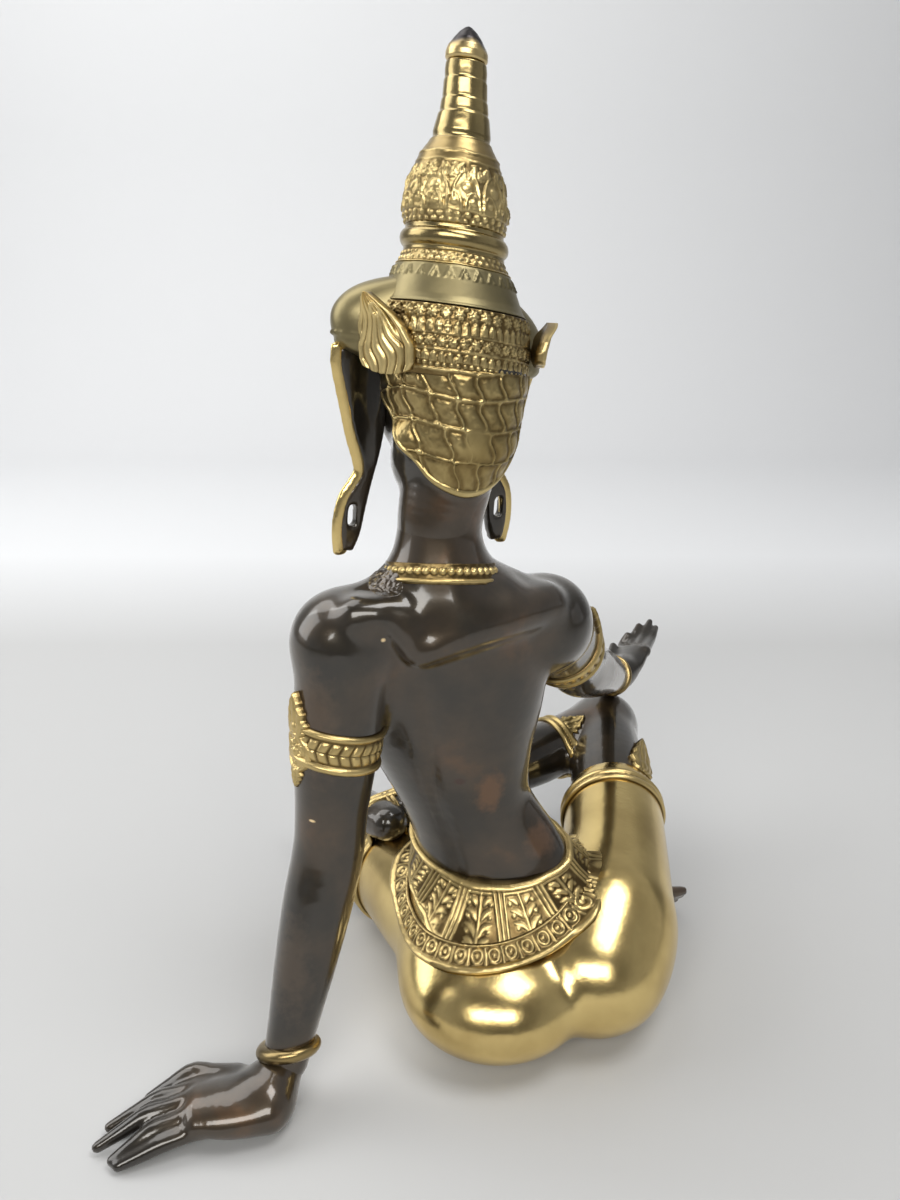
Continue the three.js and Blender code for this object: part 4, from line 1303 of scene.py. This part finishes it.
flame_on("left_hem_flame", LEGS, mix(HEM_L, L_KNEE, 0.1), (0.5, 0.4, 0.7), L_KNEE - L_HIP, 8, 25)
flame_on("knee_ring_flame", [shin_clay], mix(R_KNEE, R_ANKLE, 0.22), (-0.1, 0.42, 0.9), R_KNEE - R_ANKLE,
         6.4, 14)

# The belt: leafy panels over a lower row of ovals, wound around the hips
BELT_AXIS = unit(vec(0.141, 0.346, 1))
BELT_AT = vec(-29.5, 35, 75)
SKIRT_AXIS = unit(vec(0.141, 0.10, 1))
SKIRT_AT = vec(-31, 37, 22)
# How high the belt's ground stands over the skin
BELT_GROUND = 1.2
# The two rows' heights, how many panels and ovals go round, and how high the ovals' middles lie
PANELS_HIGH, PANELS = 21.0, 11
OVALS_HIGH, OVALS, OVAL_MIDDLE = 12.5, 34, 6.6


def scrolls(x, y):
    """A stem with four pairs of leaves, in millimetres from the foot of the panel's middle."""
    x = np.abs(x)
    high = 0.8 * hump(x, 0, 0.55) * ((y > 1.0) & (y < 17.0))
    for level, long in ((2.6, 2.9), (6.8, 3.2), (11.0, 2.8), (14.8, 2.1)):
        far = 0.80 * (x - 2.6) + 0.60 * (y - level)
        over = -0.60 * (x - 2.6) + 0.80 * (y - level) + 0.12 * far ** 2
        leaf = dome(far / long, over / 1.15)
        high = np.maximum.reduce([high, leaf, 1.1 * hump(np.hypot(x - 4.6, y - level + 0.9), 0, 0.8)])
    return high


def upper_belt_relief(share, v, r):
    y = v * PANELS_HIGH
    rows = Rows(share + 0.18, y, r)
    x = rows.across(PANELS)
    edge = rows.girth / PANELS / 2 - np.abs(x)
    inner = (edge > 2.6) & (y > 2.2) & (y < PANELS_HIGH - 2.6)
    high = np.maximum.reduce([
        hump(edge, 0, 0.55),
        hump(edge, 1.9, 0.5),
        1.1 * scrolls(x, y - 1.2) * inner,
        1.7 * hump(y, PANELS_HIGH - 0.9, 0.9, 4),
        0.9 * np.maximum(hump(y, 2.0, 0.5), hump(y, PANELS_HIGH - 2.7, 0.45)) * (edge > 1.6),
        1.2 * hump(y, 0.5, 0.7, 4),
    ])
    worn = 0.8 + 0.5 * grain(share, y, 240, 6.0, 51)
    return BELT_GROUND + high * worn + 0.2 * grain(share, y, 240, 1.6, 53)


def lower_belt_relief(share, v, r):
    y = v * OVALS_HIGH
    rows = Rows(share, y, r)
    pitch = rows.girth / OVALS
    x = rows.across(OVALS)
    oval_edge = np.hypot(x / (pitch * 0.36), (y - OVAL_MIDDLE) / 3.4)
    high = np.maximum.reduce([
        0.95 * hump(oval_edge, 0.82, 0.2),
        0.8 * dome(oval_edge / 0.36),
        0.75 * hump(pitch / 2 - np.abs(x), 0, 0.55) * (np.abs(y - OVAL_MIDDLE) < 3.6),
        1.5 * hump(y, 1.3, 1.2, 4),
        0.9 * hump(y, 11.3, 0.5),
    ])
    worn = 0.85 + 0.5 * grain(share, y, 300, 6.0, 55)
    return BELT_GROUND + high * worn + 0.2 * grain(share, y, 300, 1.5, 57)


def hips():
    """The form under the belt: the waist spreading over the top of the seat."""
    clay = Clay((-130, -60, 20), (60, 140, 110), 1.4)
    clay.add(stack([(40, -38, 44, 48, 42, -20), (47, -36.5, 42.5, 47, 39, -21),
                    (54.5, -34.5, 40, 45, 33, -22), (64, -31.5, 35.5, 40.5, 28, -24),
                    (72, -29.5, 33.5, 37, 24.5, -24), (80, -27, 33, 33, 21.5, -24),
                    (92, -20, 32, 26, 17, -24)]))
    return clay


hip_clay = hips()
band("belt_upper", [torso_clay, hip_clay, legs_clay], BELT_AT, BELT_AXIS, left_of(-24), -8.6, 6.6,
     upper_belt_relief, (54, 540), start=70, ease=6, most=46, ground=BELT_GROUND, even=True, taut=0.5)
band("belt_lower", [hip_clay, legs_clay], SKIRT_AT, SKIRT_AXIS, left_of(-24), 0.0, 0.0,
     lower_belt_relief, (34, 640), start=90, ease=8, most=62, fan=(0.70, 1.10), ground=BELT_GROUND)


# Stage, light and camera. The sweep and the lights are placed in metres

# The pale paper sweep: a floor that curves up into a wall on the figure's far side. Its colour carries
# painted light: painted shade makes the floor darker near the camera, and the far floor and wall are painted
# paler as if more brightly lit
SWEEP_FRONT, SWEEP_FLOOR = 6.0, 1.05
SWEEP_BEND = 0.45
SWEEP_HIGH = 1.6
SWEEP_WIDE = 6.0
# Paper colours with painted light in them: darker for the painted shade near the camera, paler for the
# painted light on the far floor and wall
PAPER_AND_PAINTED_LIGHT = [(0.0, (0.50, 0.50, 0.495)), (1.0, (0.72, 0.725, 0.73))]
# Painted light: the paper turns paler from the first of these places behind the figure to the second, as if
# the far floor and wall stood in brighter light
PAINTED_LIGHT_FROM, PAINTED_LIGHT_TO = -0.38, -0.62
# The dim room around it: darker behind the camera than overhead
ROOM = [(0.0, (0.95, 0.96, 1.0)), (0.32, (0.55, 0.56, 0.58)), (0.70, (0.42, 0.43, 0.45)),
        (0.84, (0.20, 0.20, 0.205)), (0.97, (0.05, 0.05, 0.05))]
# How much a direction's height counts for its tone, the two ends of that scale, and the room's strength
ROOM_CLIMB, ROOM_FROM, ROOM_TO = 0.8, -0.6, 1.3
ROOM_POWER = 0.72
MIDDLE = (0, 0.03, 0.17)
# The camera's place in the casting's axes, its angle up from straight down, and its lens and sensor in mm
CAMERA_AT = (-9.6, 454.0, 344.8)
CAMERA_TILT = 70
LENS, SENSOR = 33.0, 36.0


def placed(name, data):
    made = bpy.data.objects.new(name, data)
    bpy.context.scene.collection.objects.link(made)
    return made


def sweep():
    material, tree, shader = finish("paper_with_painted_light")
    where = node(tree, "SeparateXYZ", {0: node(tree, "TexCoord", {})["Object"]})
    # Painted light: the paper's colour runs from painted shade near the camera to paler, as if brighter lit,
    # paper behind the figure
    share = node(tree, "MapRange", {"Value": where["Y"], "From Min": PAINTED_LIGHT_FROM, "From Max": PAINTED_LIGHT_TO})[0]
    feed(tree, shader, {"Base Color": ramp(tree, share, PAPER_AND_PAINTED_LIGHT), "Roughness": 0.8, "Specular IOR Level": 0.2})
    bend = [(-SWEEP_FLOOR - SWEEP_BEND * math.sin(t), SWEEP_BEND * (1 - math.cos(t)))
            for t in np.linspace(0, math.pi / 2, 24)]
    line = [(SWEEP_FRONT, 0.0)] + bend + [(bend[-1][0], SWEEP_HIGH)]
    points = [(x, y, z) for y, z in line for x in (-SWEEP_WIDE, SWEEP_WIDE)]
    faces = [(2 * i + 1, 2 * i, 2 * i + 2, 2 * i + 3) for i in range(len(line) - 1)]
    mesh = bpy.data.meshes.new("sweep")
    mesh.from_pydata(points, [], faces)
    mesh.polygons.foreach_set("use_smooth", [True] * len(faces))
    mesh.materials.append(material)
    made = placed("sweep", mesh)


def light(name, towards, distance, size, power, colour=(1, 1, 1), target=MIDDLE):
    """A soft panel in the direction `towards` as the figure sees it."""
    data = bpy.data.lights.new(name, "AREA")
    data.shape = "RECTANGLE"
    data.size, data.size_y = size
    data.energy = power
    data.color = colour
    lamp = placed(name, data)
    lamp.location = Vector(target) + Vector(towards).normalized() * distance
    lamp.rotation_euler = (Vector(target) - lamp.location).to_track_quat("-Z", "Y").to_euler()


def camera():
    data = bpy.data.cameras.new("camera")
    data.lens = LENS
    data.sensor_width = SENSOR
    made = placed("camera", data)
    made.location = in_frame(CAMERA_AT)
    made.rotation_euler = (math.radians(CAMERA_TILT), 0, math.radians(180))
    bpy.context.scene.camera = made


def room():
    made = bpy.data.worlds.new("room")
    bpy.context.scene.world = made
    made.use_nodes = True
    tree = made.node_tree
    where = node(tree, "SeparateXYZ", {0: node(tree, "TexCoord", {})["Generated"]})
    climb = node(tree, "Math", {0: where["Z"], 1: ROOM_CLIMB, 2: where["Y"]}, operation="MULTIPLY_ADD")[0]
    share = node(tree, "MapRange", {"Value": climb, "From Min": ROOM_FROM, "From Max": ROOM_TO})[0]
    feed(tree, tree.nodes["Background"], {"Color": ramp(tree, share, ROOM), "Strength": ROOM_POWER})


bpy.context.scene.view_settings.view_transform = "Standard"
sweep()
room()
light("window", (0.06, 0.80, 0.50), 1.5, (1.30, 0.50), 15, (1.0, 0.99, 0.96))
light("skylight", (-0.30, 0.20, 0.90), 1.3, (0.6, 0.6), 8)
light("side", (0.95, -0.05, 0.45), 1.5, (0.9, 1.1), 9, (0.98, 0.99, 1.0))
light("wall", (0.35, 0.60, 0.70), 1.3, (1.2, 1.2), 12, target=(0.10, -1.30, 0.35))
camera()
